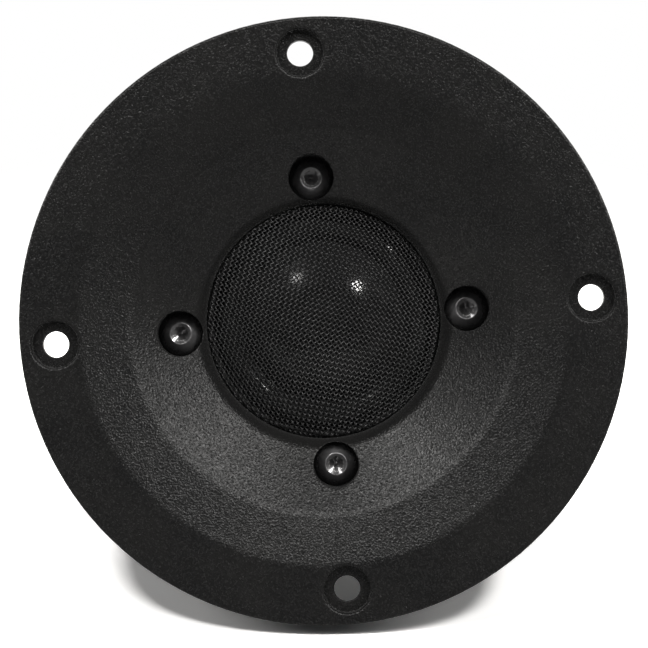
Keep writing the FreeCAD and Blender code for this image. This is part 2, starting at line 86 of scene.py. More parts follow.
def rough_noise(x, y, z, octaves=3):
    return fractal(Vector((x, y, z)), 1.0, 2.0, octaves)


def link_mesh(name, mesh):
    ob = bpy.data.objects.new(name, mesh)
    bpy.context.scene.collection.objects.link(ob)
    return ob


def new_object(name, verts, faces):
    """Smooth shaded mesh from points in metres."""
    mesh = bpy.data.meshes.new(name)
    mesh.from_pydata([tuple(v) for v in verts], [], [tuple(f) for f in faces])
    mesh.validate()
    mesh.update()
    ob = link_mesh(name, mesh)
    mesh.polygons.foreach_set("use_smooth", [True] * len(mesh.polygons))
    return ob


def fix_normals(ob):
    bm = bmesh.new()
    bm.from_mesh(ob.data)
    bmesh.ops.recalc_face_normals(bm, faces=bm.faces)
    bm.to_mesh(ob.data)
    bm.free()
    ob.data.update()


def solid(name, verts, faces):
    """Closed mesh from points in mm, with faces of any size."""
    ob = new_object(name, [tuple(c * MM for c in v) for v in verts], faces)
    fix_normals(ob)
    return ob


def quad_solid(name, verts, quads):
    """Closed mesh of quads only from points in mm, quick for the big meshes."""
    mesh = bpy.data.meshes.new(name)
    verts = (np.asarray(verts, float) * MM).astype(np.float32)
    quads = np.asarray(quads, np.int32)
    mesh.vertices.add(len(verts))
    mesh.vertices.foreach_set("co", verts.ravel())
    mesh.loops.add(quads.size)
    mesh.loops.foreach_set("vertex_index", quads.ravel())
    mesh.polygons.add(len(quads))
    mesh.polygons.foreach_set("loop_start", np.arange(0, quads.size, 4, dtype=np.int32))
    mesh.polygons.foreach_set("use_smooth", np.ones(len(quads), bool))
    mesh.update(calc_edges=True)
    mesh.validate()
    ob = link_mesh(name, mesh)
    fix_normals(ob)
    return ob


def sharpen(ob, degrees):
    """Marks edges sharper than the angle, so smooth shading keeps them crisp."""
    bm = bmesh.new()
    bm.from_mesh(ob.data)
    for edge in bm.edges:
        if len(edge.link_faces) == 2:
            edge.smooth = edge.calc_face_angle(0.0) < math.radians(degrees)
    bm.to_mesh(ob.data)
    bm.free()


def skin(rings, points, wrap_rings=True, wrap_points=True):
    """Quads over a grid of rings, each with the same number of points."""
    quads = []
    for i in range(rings if wrap_rings else rings - 1):
        k = (i + 1) % rings
        for j in range(points if wrap_points else points - 1):
            m = (j + 1) % points
            quads.append((i * points + j, i * points + m, k * points + m, k * points + j))
    return quads


def capped_skin(rings, points):
    """Faces of a closed section swept along an open path, with both ends closed."""
    last = (rings - 1) * points
    ends = [tuple(range(points)), tuple(last + j for j in reversed(range(points)))]
    return skin(rings, points, wrap_rings=False) + ends


def full_turn(segments):
    return [2 * math.pi * i / segments for i in range(segments)]


def revolve(profile, angles, shape=None):
    """Points of an (r, y) profile at each angle about Y. shape(r, y, angle) gives a shift (dr, dy)."""
    verts = []
    for angle in angles:
        for r, y in profile:
            dr, dy = shape(r, y, angle) if shape else (0.0, 0.0)
            verts.append(polar_point(angle, r + dr, y + dy))
    return verts


def lathe(name, profile, segments, shape=None):
    """Turns a closed (r, y) profile about the Y axis."""
    verts = revolve(profile, full_turn(segments), shape)
    return quad_solid(name, verts, skin(segments, len(profile)))


def rounded_ring(r0, r1, y0, y1, edge, across, deep, arc):
    """Ring section with rounded corners. across, deep and arc count the steps of each part."""
    def arc_point(centre, degrees):
        a = math.radians(degrees)
        return (centre[0] + edge * math.cos(a), centre[1] + edge * math.sin(a))

    points = []
    # centre of each corner and the angle its arc starts at
    corners = [((r0 + edge, y0 + edge), 180), ((r1 - edge, y0 + edge), 270),
               ((r1 - edge, y1 - edge), 0), ((r0 + edge, y1 - edge), 90)]
    for k, (centre, first) in enumerate(corners):
        points += [arc_point(centre, first + 90 * i / arc) for i in range(arc + 1)]
        start = arc_point(centre, first + 90)
        end = arc_point(corners[(k + 1) % 4][0], first + 90)
        steps = across if k % 2 == 0 else deep
        for i in range(1, steps):
            t = i / steps
            points.append((start[0] + (end[0] - start[0]) * t, start[1] + (end[1] - start[1]) * t))
    return points


def displace(ob, amount, scale, seed, octaves=3):
    """Moves points along their normals by noise: amount in mm, scale in features per mm."""
    mesh = ob.data
    count = len(mesh.vertices)
    places = np.zeros(count * 3, np.float32)
    mesh.vertices.foreach_get("co", places)
    normals = np.zeros(count * 3, np.float32)
    mesh.vertices.foreach_get("normal", normals)
    places, normals = places.reshape(-1, 3), normals.reshape(-1, 3)
    to_features = scale / MM
    for i in range(count):
        p = Vector(places[i]) * to_features
        p.x += seed
        places[i] += normals[i] * (amount * MM * (fractal(p, 1.0, 2.0, octaves)))
    mesh.vertices.foreach_set("co", places.ravel())
    mesh.update()


def unit_rows(rows):
    return rows / np.linalg.norm(rows, axis=1)[:, None]


# ------------------------------------------------------------------ shader node helpers
class Nodes:
    """A cleared node tree, with short ways to add nodes and feed their sockets."""

    def __init__(self, tree):
        self.tree = tree
        tree.nodes.clear()

    def put(self, socket, value):
        """Links a socket to the input, or stores a plain value in it."""
        if hasattr(value, "is_output"):
            self.tree.links.new(value, socket)
        elif isinstance(value, (tuple, list)) and len(value) == 3 and socket.type == "RGBA":
            socket.default_value = (*value, 1.0)
        else:
            socket.default_value = value

    def new(self, kind, inputs, **settings):
        node = self.tree.nodes.new(kind)
        for key, value in settings.items():
            setattr(node, key, value)
        for key, value in inputs.items():
            self.put(node.inputs[key], value)
        return node

    def add(self, kind, inputs, output=0, **settings):
        return self.new(kind, inputs, **settings).outputs[output]


class Material(Nodes):
    """A Principled material whose detail is measured in mm of the object's own space."""

    INPUTS = {
        "base": "Base Color", "metal": "Metallic", "rough": "Roughness",
        "spec": "Specular IOR Level", "coat": "Coat Weight", "coat_rough": "Coat Roughness",
        "sheen": "Sheen Weight", "sheen_rough": "Sheen Roughness", "normal": "Normal",
        "sub": "Subsurface Weight",
    }

    def __init__(self, name):
        self.data = bpy.data.materials.new(name)
        self.data.use_nodes = True
        super().__init__(self.data.node_tree)
        self.out = self.new("ShaderNodeOutputMaterial", {})
        self.bsdf = self.new("ShaderNodeBsdfPrincipled", {})
        self.put(self.out.inputs[0], self.bsdf.outputs[0])
        own = self.add("ShaderNodeTexCoord", {}, "Object")
        self.place = self.vector("SCALE", {0: own, "Scale": 1000.0})

    def set(self, **values):
        for key, value in values.items():
            self.put(self.bsdf.inputs[self.INPUTS[key]], value)
        return self.data

    # coordinates
    def vector(self, operation, inputs, output=0):
        return self.add("ShaderNodeVectorMath", inputs, output, operation=operation)

    def split(self, vec):
        return self.new("ShaderNodeSeparateXYZ", {0: vec}).outputs

    def warp(self, vec, amount, scale, detail=2.0):
        """vec shifted by noise, in mm."""
        colour = self.add("ShaderNodeTexNoise",
                          {"Scale": scale, "Detail": detail, "Vector": vec}, "Color")
        centred = self.vector("SUBTRACT", {0: colour, 1: (0.5, 0.5, 0.5)})
        shift = self.vector("SCALE", {0: centred, "Scale": amount})
        return self.vector("ADD", {0: vec, 1: shift})

    def stretch(self, x, y, z, vec=None):
        return self.add("ShaderNodeMapping", {"Scale": (x, y, z), "Vector": vec or self.place})

    def axis_radius(self, parts):
        x_squared = self.times(parts[0], parts[0])
        z_squared = self.times(parts[2], parts[2])
        return self.math("SQRT", self.plus(x_squared, z_squared))

    def radius_and_depth(self):
        """Distance from the Y axis, and y."""
        parts = self.split(self.place)
        return self.axis_radius(parts), parts[1]

    def turned(self):
        """(angle x 30, radius, y), so that turned parts can carry strokes round their axis."""
        parts = self.split(self.place)
        angle = self.math("ARCTAN2", parts[2], parts[0])
        radius = self.axis_radius(parts)
        return self.add("ShaderNodeCombineXYZ",
                        {0: self.times(angle, by=30.0), 1: radius, 2: parts[1]})

    # textures
    def noise(self, scale, detail, rough=0.5, vec=None):
        inputs = {"Scale": scale, "Detail": detail, "Roughness": rough, "Vector": vec or self.place}
        return self.add("ShaderNodeTexNoise", inputs, "Fac")

    def voronoi(self, scale, feature="F1", vec=None):
        return self.add("ShaderNodeTexVoronoi", {"Scale": scale, "Vector": vec or self.place},
                        "Distance", feature=feature)

    def crossed_fibres(self, detail, rough, warp, layers):
        """Mean of two stretched noises. Each layer is (scale, stretch, scale of the warp)."""
        halves = []
        for scale, stretch, warp_scale in layers:
            vec = self.warp(self.stretch(*stretch), warp, warp_scale)
            halves.append(self.times(self.noise(scale, detail, rough, vec), by=0.5))
        return self.plus(*halves)

    # arithmetic
    def math(self, operation, a, b=0.0):
        return self.add("ShaderNodeMath", {0: a, 1: b}, operation=operation)

    def plus(self, a, b):
        return self.math("ADD", a, b)

    def times(self, value, by):
        return self.math("MULTIPLY", value, by)

    def span(self, value, low, high, to_low=0.0, to_high=1.0):
        """Maps low..high to to_low..to_high, clamped."""
        return self.add("ShaderNodeMapRange", {
            "Value": value, "From Min": low, "From Max": high,
            "To Min": to_low, "To Max": to_high}, clamp=True)

    def vary(self, noise, least, most):
        """Spreads the middle of a noise over least..most."""
        return self.span(noise, 0.3, 0.7, least, most)

    def smooth(self, value, low, high):
        return self.add("ShaderNodeMapRange", {"Value": value, "From Min": low, "From Max": high},
                        interpolation_type="SMOOTHSTEP")

    def band(self, value, rise, fall):
        """1 between the two (low, high) ramps, 0 outside them."""
        return self.times(self.smooth(value, *rise),
                          self.math("SUBTRACT", 1.0, self.smooth(value, *fall)))

    # colour
    def mix(self, amount, a, b, blend="MIX"):
        return self.add("ShaderNodeMix", {0: amount, 6: a, 7: b}, 2,
                        data_type="RGBA", blend_type=blend)

    def two_tone(self, value, dark, light, low=0.35, high=0.65):
        return self.mix(self.span(value, low, high), dark, light)

    def tint(self, base, mask, amount, colour):
        return self.mix(self.times(mask, by=amount), base, colour)

    # relief
    def bump(self, height, strength, distance, normal=None):
        inputs = {"Strength": strength, "Distance": distance * MM, "Height": height}
        if normal is not None:
            inputs["Normal"] = normal
        return self.add("ShaderNodeBump", inputs)

    def bevel(self, radius, samples):
        return self.add("ShaderNodeBevel", {"Radius": radius * MM}, samples=samples)

    def edges(self, radius, samples):
        """1 near a sharp edge, 0 on flat parts."""
        normal = self.add("ShaderNodeNewGeometry", {}, "Normal")
        along = self.vector("DOT_PRODUCT", {0: self.bevel(radius, samples), 1: normal}, "Value")
        return self.span(along, low=0.80, high=0.995, to_low=1.0, to_high=0.0)


# ------------------------------------------------------------------ materials
def grained_plastic():
    """Black plastic with a fine moulded leather grain, shallower towards the rear."""
    mat = Material("grained_black_plastic")
    radius, depth = mat.radius_and_depth()
    cells = mat.voronoi(scale=2.3, feature="DISTANCE_TO_EDGE",
                        vec=mat.warp(mat.place, amount=0.5, scale=1.6))
    wrinkle = mat.smooth(cells, low=0.0, high=0.48)
    waves = mat.noise(scale=3.1, detail=1.5,
                      vec=mat.warp(mat.place, amount=0.22, scale=2.0, detail=1.0))
    height = mat.plus(mat.times(wrinkle, by=0.16), waves)
    # the grain is deeper on a middle band and deepest outside it
    middle = mat.band(radius, rise=(31.0, 34.5), fall=(41.0, 44.0))
    depth_gain = mat.plus(0.85, mat.times(middle, by=0.20))
    outside = mat.smooth(radius, low=43.0, high=45.0)
    depth_gain = mat.plus(depth_gain, mat.times(outside, by=0.22))
    towards_rear = mat.span(depth, low=4.4, high=5.6, to_low=1.0, to_high=0.3)
    grain = mat.times(mat.times(height, by=towards_rear), by=depth_gain)
    normal = mat.bump(grain, strength=0.90, distance=0.088,
                      normal=mat.bevel(radius=0.22, samples=5))
    base = mat.two_tone(mat.noise(scale=0.09, detail=3.0, rough=0.55),
                        dark=(0.0045, 0.0045, 0.0046), light=(0.0060, 0.0059, 0.0058))
    valley = mat.span(wrinkle, low=0.0, high=0.55, to_low=1.0, to_high=0.0)
    specks = mat.span(mat.voronoi(scale=0.30), low=0.016, high=0.026, to_low=1.0, to_high=0.0)
    patches = mat.span(mat.noise(scale=0.05, detail=2.0), low=0.5, high=0.6)
    dust = mat.times(specks, by=patches)
    base = mat.tint(base, dust, amount=0.5, colour=(0.10, 0.098, 0.09))
    # a thin grey line along the outermost rim: a painted highlight where the rounded edge catches the
    # light
    rim = mat.times(mat.smooth(radius, low=51.55, high=51.8),
                    by=mat.span(mat.edges(radius=0.22, samples=6), low=0.1, high=0.6))
    base = mat.tint(base, mat.edges(radius=0.16, samples=4), amount=0.25,
                    colour=(0.012, 0.012, 0.012))
    # painted highlight laid along the rim
    base = mat.tint(base, rim, amount=0.9, colour=(0.27, 0.267, 0.255))
    rough = mat.vary(mat.noise(scale=0.5, detail=4.0, rough=0.6), least=0.20, most=0.25)
    rough = mat.plus(rough, mat.times(valley, by=0.04))
    # the valleys of the grain stay dull
    gloss = mat.span(height, low=0.34, high=0.86, to_low=0.03, to_high=0.37)
    return mat.set(base=base, rough=rough, spec=gloss, sheen=0.04, sheen_rough=0.5, normal=normal)


def moulded_plastic():
    """Satin moulded plastic with faint flow marks and a fine spark-eroded texture."""
    mat = Material("moulded_black_plastic")
    dark = (0.016, 0.016, 0.0165)
    fine = mat.noise(scale=5.5, detail=4.0, rough=0.65)
    flow = mat.noise(scale=0.22, detail=3.0, vec=mat.stretch(1.0, 0.25, 1.0))
    normal = mat.bump(fine, strength=0.35, distance=0.02,
                      normal=mat.bevel(radius=0.25, samples=5))
    base = mat.two_tone(flow, dark=dark, light=tuple(c * 1.35 for c in dark))
    scuff = mat.span(mat.noise(scale=1.3, detail=6.0, rough=0.75, vec=mat.stretch(1.0, 0.3, 2.2)),
                     low=0.62, high=0.74)
    base = mat.tint(base, scuff, amount=0.2, colour=(0.06, 0.058, 0.056))
    base = mat.tint(base, mat.edges(radius=0.22, samples=4), amount=0.35, colour=(0.05, 0.05, 0.05))
    rough = mat.vary(mat.noise(scale=0.8, detail=4.0, rough=0.6), least=0.36, most=0.5)
    return mat.set(base=base, rough=rough, spec=0.45, normal=normal)


def black_oxide():
    """Blackened steel, its edges painted light grey as a painted highlight for the bright rings they
    catch.
    """
    mat = Material("black_oxide_steel")
    blotch = mat.noise(scale=1.6, detail=4.0, rough=0.6)
    fine = mat.noise(scale=14.0, detail=3.0, rough=0.6)
    edge = mat.edges(radius=0.10, samples=8)
    base = mat.two_tone(blotch, dark=(0.060, 0.060, 0.062), light=(0.085, 0.084, 0.085))
    # painted highlight: the edges are tinted light grey where they would catch the lamps
    base = mat.tint(base, edge, amount=0.75, colour=(0.42, 0.415, 0.41))
    dust = mat.span(mat.voronoi(scale=2.2), low=0.10, high=0.17, to_low=1.0, to_high=0.0)
    base = mat.tint(base, dust, amount=0.22, colour=(0.22, 0.21, 0.20))
    return mat.set(base=base, metal=0.65, rough=mat.vary(blotch, least=0.11, most=0.20),
                   normal=mat.bump(fine, strength=0.18, distance=0.012,
                                   normal=mat.bevel(radius=0.09, samples=6)))


def wire_cloth():
    """Black enamel on steel wire, chipped here and there."""
    mat = Material("black_wire_cloth")
    fine = mat.noise(scale=16.0, detail=3.0, rough=0.6)
    drift = mat.noise(scale=0.25, detail=3.0, rough=0.6)
    base = mat.two_tone(drift, dark=(0.0065, 0.0065, 0.0067), light=(0.0100, 0.0100, 0.0103))
    chip = mat.span(mat.noise(scale=1.9, detail=4.0, rough=0.7), low=0.74, high=0.80)
    base = mat.tint(base, chip, amount=0.4, colour=(0.10, 0.098, 0.095))
    rough = mat.vary(mat.noise(scale=3.0, detail=3.0, rough=0.6), least=0.13, most=0.30)
    return mat.set(base=base, rough=rough, spec=0.38,
                   normal=mat.bump(fine, strength=0.25, distance=0.010))


def coated_silk():
    """Fine woven silk under a soft black coating: the weave only just reads through the gloss."""
    mat = Material("coated_silk")
    thread_wave = 2 * math.pi / 0.16          # one wave of the weave is 0.16 mm
    parts = mat.split(mat.warp(mat.place, amount=0.03, scale=1.0))
    along_x = mat.math("SINE", mat.times(parts[0], by=thread_wave))
    along_z = mat.math("SINE", mat.times(parts[2], by=thread_wave))
    weave = mat.times(along_x, by=along_z)
    coating = mat.noise(scale=1.1, detail=3.0, rough=0.55)
    height = mat.plus(mat.times(weave, by=0.10), coating)
    base = mat.two_tone(mat.noise(scale=0.3, detail=3.0, rough=0.6),
                        dark=(0.017, 0.017, 0.0175), light=(0.022, 0.022, 0.0225))
    return mat.set(base=base, rough=mat.vary(coating, least=0.12, most=0.16), spec=0.36,
                   normal=mat.bump(height, strength=0.16, distance=0.012))


def grey_felt():
    mat = Material("grey_felt")
    fibres = mat.crossed_fibres(detail=6.0, rough=0.75, warp=0.7, layers=(
        (3.2, (1.0, 1.0, 2.6), 0.9), (3.6, (2.7, 1.0, 1.0), 1.1)))
    base = mat.two_tone(fibres, low=0.38, high=0.62,
                        dark=(0.050, 0.050, 0.053), light=(0.15, 0.15, 0.155))
    return mat.set(base=base, rough=0.95, spec=0.2, sheen=0.6, sheen_rough=0.5,
                   normal=mat.bump(fibres, strength=0.9, distance=0.12))


def cell_foam():
    """Closed-cell foam: small round cells, torn open on the cut faces."""
    mat = Material("black_cell_foam")
    cells = mat.voronoi(scale=4.2, vec=mat.warp(mat.place, amount=0.1, scale=2.0))
    pits = mat.smooth(cells, low=0.12, high=0.42)
    base = mat.mix(pits, (0.006, 0.006, 0.006), (0.026, 0.026, 0.027))
    dust = mat.span(mat.noise(scale=0.35, detail=3.0, rough=0.6), low=0.4, high=0.7, to_high=0.5)
    base = mat.mix(dust, base, (0.035, 0.034, 0.034))
    return mat.set(base=base, rough=0.86, spec=0.3, sheen=0.2,
                   normal=mat.bump(pits, strength=0.9, distance=0.10))


def plated_steel():
    """Steel under black zinc: turning marks, faint iridescence and rubbed edges."""
    mat = Material("black_zinc_steel")
    marks = mat.noise(scale=1.0, detail=3.0, rough=0.6,
                      vec=mat.stretch(0.05, 7.0, 7.0, vec=mat.turned()))
    base = mat.two_tone(mat.noise(scale=0.16, detail=4.0, rough=0.6),
                        dark=(0.040, 0.042, 0.047), light=(0.075, 0.073, 0.072))
    blue = mat.span(mat.noise(scale=0.5, detail=3.0), low=0.55, high=0.75, to_high=0.4)
    base = mat.mix(blue, base, (0.060, 0.066, 0.085))
    base = mat.tint(base, mat.edges(radius=0.35, samples=5), amount=0.55, colour=(0.33, 0.33, 0.33))
    return mat.set(base=base, metal=0.9, rough=mat.vary(marks, least=0.28, most=0.46),
                   normal=mat.bump(marks, strength=0.22, distance=0.02,
                                   normal=mat.bevel(radius=0.2, samples=5)))


def ferrite():
    """Ground ceramic magnet: dark grey, granular, with grinding marks and chipped edges."""
    mat = Material("ferrite")
    grain = mat.noise(scale=6.0, detail=5.0, rough=0.7)
    grinding = mat.noise(scale=1.0, detail=4.0, rough=0.7,
                         vec=mat.stretch(0.12, 5.0, 3.0, vec=mat.turned()))
    base = mat.two_tone(grain, dark=(0.028, 0.028, 0.030), light=(0.062, 0.062, 0.065))
    dust = mat.span(mat.noise(scale=0.28, detail=5.0, rough=0.7), low=0.5, high=0.72, to_high=0.45)
    base = mat.mix(dust, base, (0.095, 0.090, 0.086))
    chip = mat.times(mat.edges(radius=0.9, samples=5),
                     by=mat.span(mat.noise(scale=0.9, detail=4.0, rough=0.7), low=0.52, high=0.60))
    base = mat.tint(base, chip, amount=0.8, colour=(0.13, 0.13, 0.132))
    pits = mat.smooth(mat.voronoi(scale=0.9), low=0.08, high=0.2)
    height = mat.plus(mat.times(grain, by=0.5), mat.times(pits, by=0.5))
    height = mat.math("SUBTRACT", height, mat.times(chip, by=1.5))
    return mat.set(base=base, rough=mat.vary(grinding, least=0.52, most=0.72), spec=0.45,
                   normal=mat.bump(height, strength=0.5, distance=0.05,
                                   normal=mat.bevel(radius=0.3, samples=4)))


def bare_metal(name, low, high, rough, fine, brush=None, tarnish=None, edge_light=0.4):
    """Metal between two tones. fine is the scale of its streaks, brush how they are stretched."""
    mat = Material(name)
    streak = mat.noise(scale=fine, detail=4.0, rough=0.65, vec=mat.stretch(*brush) if brush else None)
    base = mat.two_tone(mat.noise(scale=0.55, detail=4.0, rough=0.6), dark=low, light=high)
    if tarnish:
        stain = mat.span(mat.noise(scale=0.8, detail=5.0, rough=0.7),
                         low=0.55, high=0.75, to_high=0.6)
        base = mat.mix(stain, base, tarnish)
    base = mat.tint(base, mat.edges(radius=0.15, samples=4), amount=edge_light,
                    colour=tuple(min(1.0, c * 1.5 + 0.05) for c in high))
    return mat.set(base=base, metal=1.0, rough=mat.vary(streak, *rough),
                   normal=mat.bump(streak, strength=0.2, distance=0.015,
                                   normal=mat.bevel(radius=0.1, samples=4)))


def laminate():
    """Paper laminate: brown sheet with faint fibres and lighter layers."""
    mat = Material("phenolic_board")
    fibres = mat.noise(scale=1.4, detail=6.0, rough=0.75, vec=mat.stretch(1.0, 6.0, 0.4))
    base = mat.two_tone(fibres, dark=(0.085, 0.034, 0.012), light=(0.16, 0.068, 0.024))
    layers = mat.noise(scale=1.0, detail=2.0, vec=mat.stretch(0.2, 9.0, 0.2))
    base = mat.mix(mat.span(layers, low=0.5, high=0.7, to_high=0.35), base, (0.21, 0.10, 0.040))
    return mat.set(base=base, rough=mat.vary(fibres, least=0.34, most=0.52), spec=0.5,
                   normal=mat.bump(fibres, strength=0.3, distance=0.02,
                                   normal=mat.bevel(radius=0.15, samples=4)))


def enamel_wire():
    mat = Material("enamelled_copper")
    drift = mat.noise(scale=1.0, detail=3.0, rough=0.6,
                      vec=mat.stretch(0.3, 1.0, 9.0, vec=mat.turned()))
    base = mat.two_tone(drift, low=0.3, high=0.7,
                        dark=(0.42, 0.115, 0.030), light=(0.66, 0.22, 0.060))
    return mat.set(base=base, metal=0.85, rough=0.22, coat=0.8, coat_rough=0.08,
                   normal=mat.bump(drift, strength=0.2, distance=0.01))


def fibre_board():
    mat = Material("gasket_fibre")
    fibres = mat.noise(scale=2.4, detail=6.0, rough=0.75,
                       vec=mat.warp(mat.stretch(1.0, 1.0, 3.0), amount=0.5, scale=1.0))
    base = mat.two_tone(fibres, dark=(0.17, 0.12, 0.07), light=(0.33, 0.25, 0.16))
    return mat.set(base=base, rough=0.9, spec=0.2,
                   normal=mat.bump(fibres, strength=0.6, distance=0.04))


def label_film():
    """Blank silvered film label with a plain ring printed near its edge."""
    mat = Material("blank_label")
    radius, _ = mat.radius_and_depth()
    sheen = mat.noise(scale=1.2, detail=4.0, rough=0.6, vec=mat.stretch(0.15, 1.0, 6.0))
    base = mat.two_tone(sheen, low=0.3, high=0.7,
                        dark=(0.40, 0.40, 0.395), light=(0.50, 0.50, 0.49))
    ring = mat.band(radius, rise=(17.6, 17.7), fall=(18.3, 18.4))
    base = mat.mix(ring, base, (0.025, 0.025, 0.026))
    smudge = mat.span(mat.noise(scale=0.16, detail=5.0, rough=0.65),
                      low=0.52, high=0.72, to_high=0.35)
    base = mat.mix(smudge, base, (0.27, 0.265, 0.255))
    rough = mat.vary(mat.noise(scale=0.6, detail=5.0, rough=0.7), least=0.30, most=0.44)
    return mat.set(base=base, metal=0.55, rough=rough,
                   normal=mat.bump(mat.noise(scale=0.5, detail=3.0), strength=0.15, distance=0.03))


def glue():
    mat = Material("epoxy_bead")
    flow = mat.noise(scale=0.9, detail=3.0, rough=0.6)
    base = mat.two_tone(flow, dark=(0.030, 0.024, 0.018), light=(0.055, 0.042, 0.028))
    return mat.set(base=base, rough=0.2, spec=0.5, coat=0.3,
                   normal=mat.bump(flow, strength=0.3, distance=0.05))


def wadding_wool():
    mat = Material("wadding")
    fibres = mat.crossed_fibres(detail=8.0, rough=0.8, warp=1.6, layers=(
        (1.6, (1.0, 1.0, 3.2), 0.5), (1.8, (3.0, 1.0, 1.0), 0.6)))
    base = mat.two_tone(fibres, low=0.36, high=0.62,
                        dark=(0.42, 0.41, 0.38), light=(0.80, 0.79, 0.76))
    return mat.set(base=base, rough=0.95, spec=0.15, sheen=0.8, sheen_rough=0.4, sub=0.15,
                   normal=mat.bump(fibres, strength=1.0, distance=0.35))


MATERIALS = {
    "grain": grained_plastic(),
    "plastic": moulded_plastic(),
    "oxide": black_oxide(),
    "cloth": wire_cloth(),
    "silk": coated_silk(),
    "felt": grey_felt(),
    "foam": cell_foam(),
    "steel": plated_steel(),
    "ferrite": ferrite(),
    "copper": bare_metal(
        "copper_sleeve", low=(0.72, 0.30, 0.17), high=(0.90, 0.45, 0.28), rough=(0.18, 0.30),
        fine=1.0, brush=(8.0, 0.6, 8.0), tarnish=(0.42, 0.17, 0.09)),
    "zinc": bare_metal(
        "zinc_plated_steel", low=(0.42, 0.43, 0.46), high=(0.60, 0.61, 0.63), rough=(0.22, 0.36),
        fine=6.0, tarnish=(0.52, 0.48, 0.38)),
    "pin": bare_metal(
        "ground_steel_pin", low=(0.50, 0.50, 0.51), high=(0.64, 0.64, 0.65), rough=(0.20, 0.32),
        fine=1.0, brush=(9.0, 1.0, 9.0)),
    "tin": bare_metal(
        "tinned_brass", low=(0.30, 0.29, 0.26), high=(0.42, 0.41, 0.37), rough=(0.25, 0.42),
        fine=2.2, brush=(1.0, 5.0, 1.0), tarnish=(0.28, 0.22, 0.13), edge_light=0.15),
    "tinned": bare_metal(
        "tinned_copper", low=(0.58, 0.54, 0.48), high=(0.74, 0.70, 0.64), rough=(0.26, 0.42),
        fine=3.0, tarnish=(0.62, 0.38, 0.24)),
    "solder": bare_metal(
        "solder", low=(0.50, 0.50, 0.51), high=(0.68, 0.68, 0.69), rough=(0.15, 0.30),
        fine=3.0, tarnish=(0.38, 0.36, 0.30)),
    "alu": bare_metal(
        "aluminium_former", low=(0.62, 0.62, 0.63), high=(0.76, 0.76, 0.77), rough=(0.26, 0.40),
        fine=1.0, brush=(0.6, 9.0, 0.6)),
    "board": laminate(),
    "wire": enamel_wire(),
    "fibre": fibre_board(),
    "label": label_film(),
    "glue": glue(),
    "wool": wadding_wool(),
}

# CAD pieces that keep their own mesh, and their materials
KEPT_PIECES = {
    "faceplate": "grain",
    "faceplate_screws": "oxide",
    "grille_retaining_ring": "plastic",
    "diaphragm_ring": "plastic",
    "diaphragm_gasket": "fibre",
    "alignment_pins": "pin",
    "terminal_block": "board",
    "terminal_tab_positive": "tin",
    "terminal_tab_negative": "tin",
    "terminal_strips": "tinned",
    "solder_beads": "solder",
    "top_plate": "steel",
    "ferrite_magnet": "ferrite",
    "t_yoke": "steel",
    "copper_sleeve": "copper",
    "rear_cup": "plastic",
    "rear_cup_screws": "zinc",
    "rear_label": "label",
    "coil_former": "alu",
}
for node_name, material_key in KEPT_PIECES.items():
    kept = NODES[node_name].data
    kept.materials.clear()
    kept.materials.append(MATERIALS[material_key])


def finish_piece(ob, material, body=None, node=None):
    """Gives a new piece its material, the body it rides on and the CAD piece it replaces."""
    ob.data.materials.clear()
    ob.data.materials.append(MATERIALS[material])
    if body:
        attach(ob, body)
    if node:
        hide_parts(node)


# ------------------------------------------------------------------ woven wire grille
CAP_RADIUS, CAP_FRONT, CAP_REAR = extent("grille_mesh")
WIRE = 0.26                                # wire diameter
WIRE_PITCH = 0.655                         # about 39 wires to the inch
CAP_SPHERE = 47.0                          # radius of the cap's front surface
CLOTH_SPHERE = CAP_SPHERE - WIRE           # radius of the cloth's middle surface
SPHERE_Y = CAP_FRONT + CAP_SPHERE
FILLET = 0.26                              # bend from the cap into its skirt
SKIRT_RADIUS = CAP_RADIUS - WIRE - 0.01
EDGE_ANGLE = math.asin((SKIRT_RADIUS - FILLET) / (CLOTH_SPHERE - FILLET))
# distances along the cloth from its centre
CAP_LENGTH = CLOTH_SPHERE * EDGE_ANGLE
FILLET_LENGTH = FILLET * (math.pi / 2 - EDGE_ANGLE)
SKIRT_FRONT = (SPHERE_Y - CLOTH_SPHERE * math.cos(EDGE_ANGLE) + FILLET * math.cos(EDGE_ANGLE))
CLOTH_REACH = CAP_LENGTH + FILLET_LENGTH + (CAP_REAR - 0.12) - SKIRT_FRONT
CLOTH_TURN = 28.2                          # direction of the first set of wires, degrees
SET_ANGLE = 90.6                           # between the two sets of wires, degrees
WIRE_SIDES = 6
SAMPLES_PER_PITCH = 4


def cloth_point(u, v, lift):
    """Flat cloth coordinates to the pressed cap. lift is along the outward normal."""
    along = np.hypot(u, v)
    safe = np.where(along < 1e-9, 1.0, along)
    cap_angle = along / CLOTH_SPHERE
    past_cap = along - CAP_LENGTH
    bend_angle = EDGE_ANGLE + np.clip(past_cap, 0, FILLET_LENGTH) / FILLET
    bend_r = (CLOTH_SPHERE - FILLET) * math.sin(EDGE_ANGLE)
    bend_y = SPHERE_Y - (CLOTH_SPHERE - FILLET) * math.cos(EDGE_ANGLE)
    down_skirt = np.clip(past_cap - FILLET_LENGTH, 0, None)
    on_cap = past_cap <= 0
    angle = np.where(on_cap, cap_angle, bend_angle)
    r = np.where(on_cap, CLOTH_SPHERE * np.sin(cap_angle), bend_r + FILLET * np.sin(bend_angle))
    y = np.where(on_cap, SPHERE_Y - CLOTH_SPHERE * np.cos(cap_angle),
                 bend_y - FILLET * np.cos(bend_angle) + down_skirt)
    r = r + lift * np.sin(angle)
    y = y - lift * np.cos(angle)
    return np.stack([r * (u / safe), y, r * (v / safe)], 1)


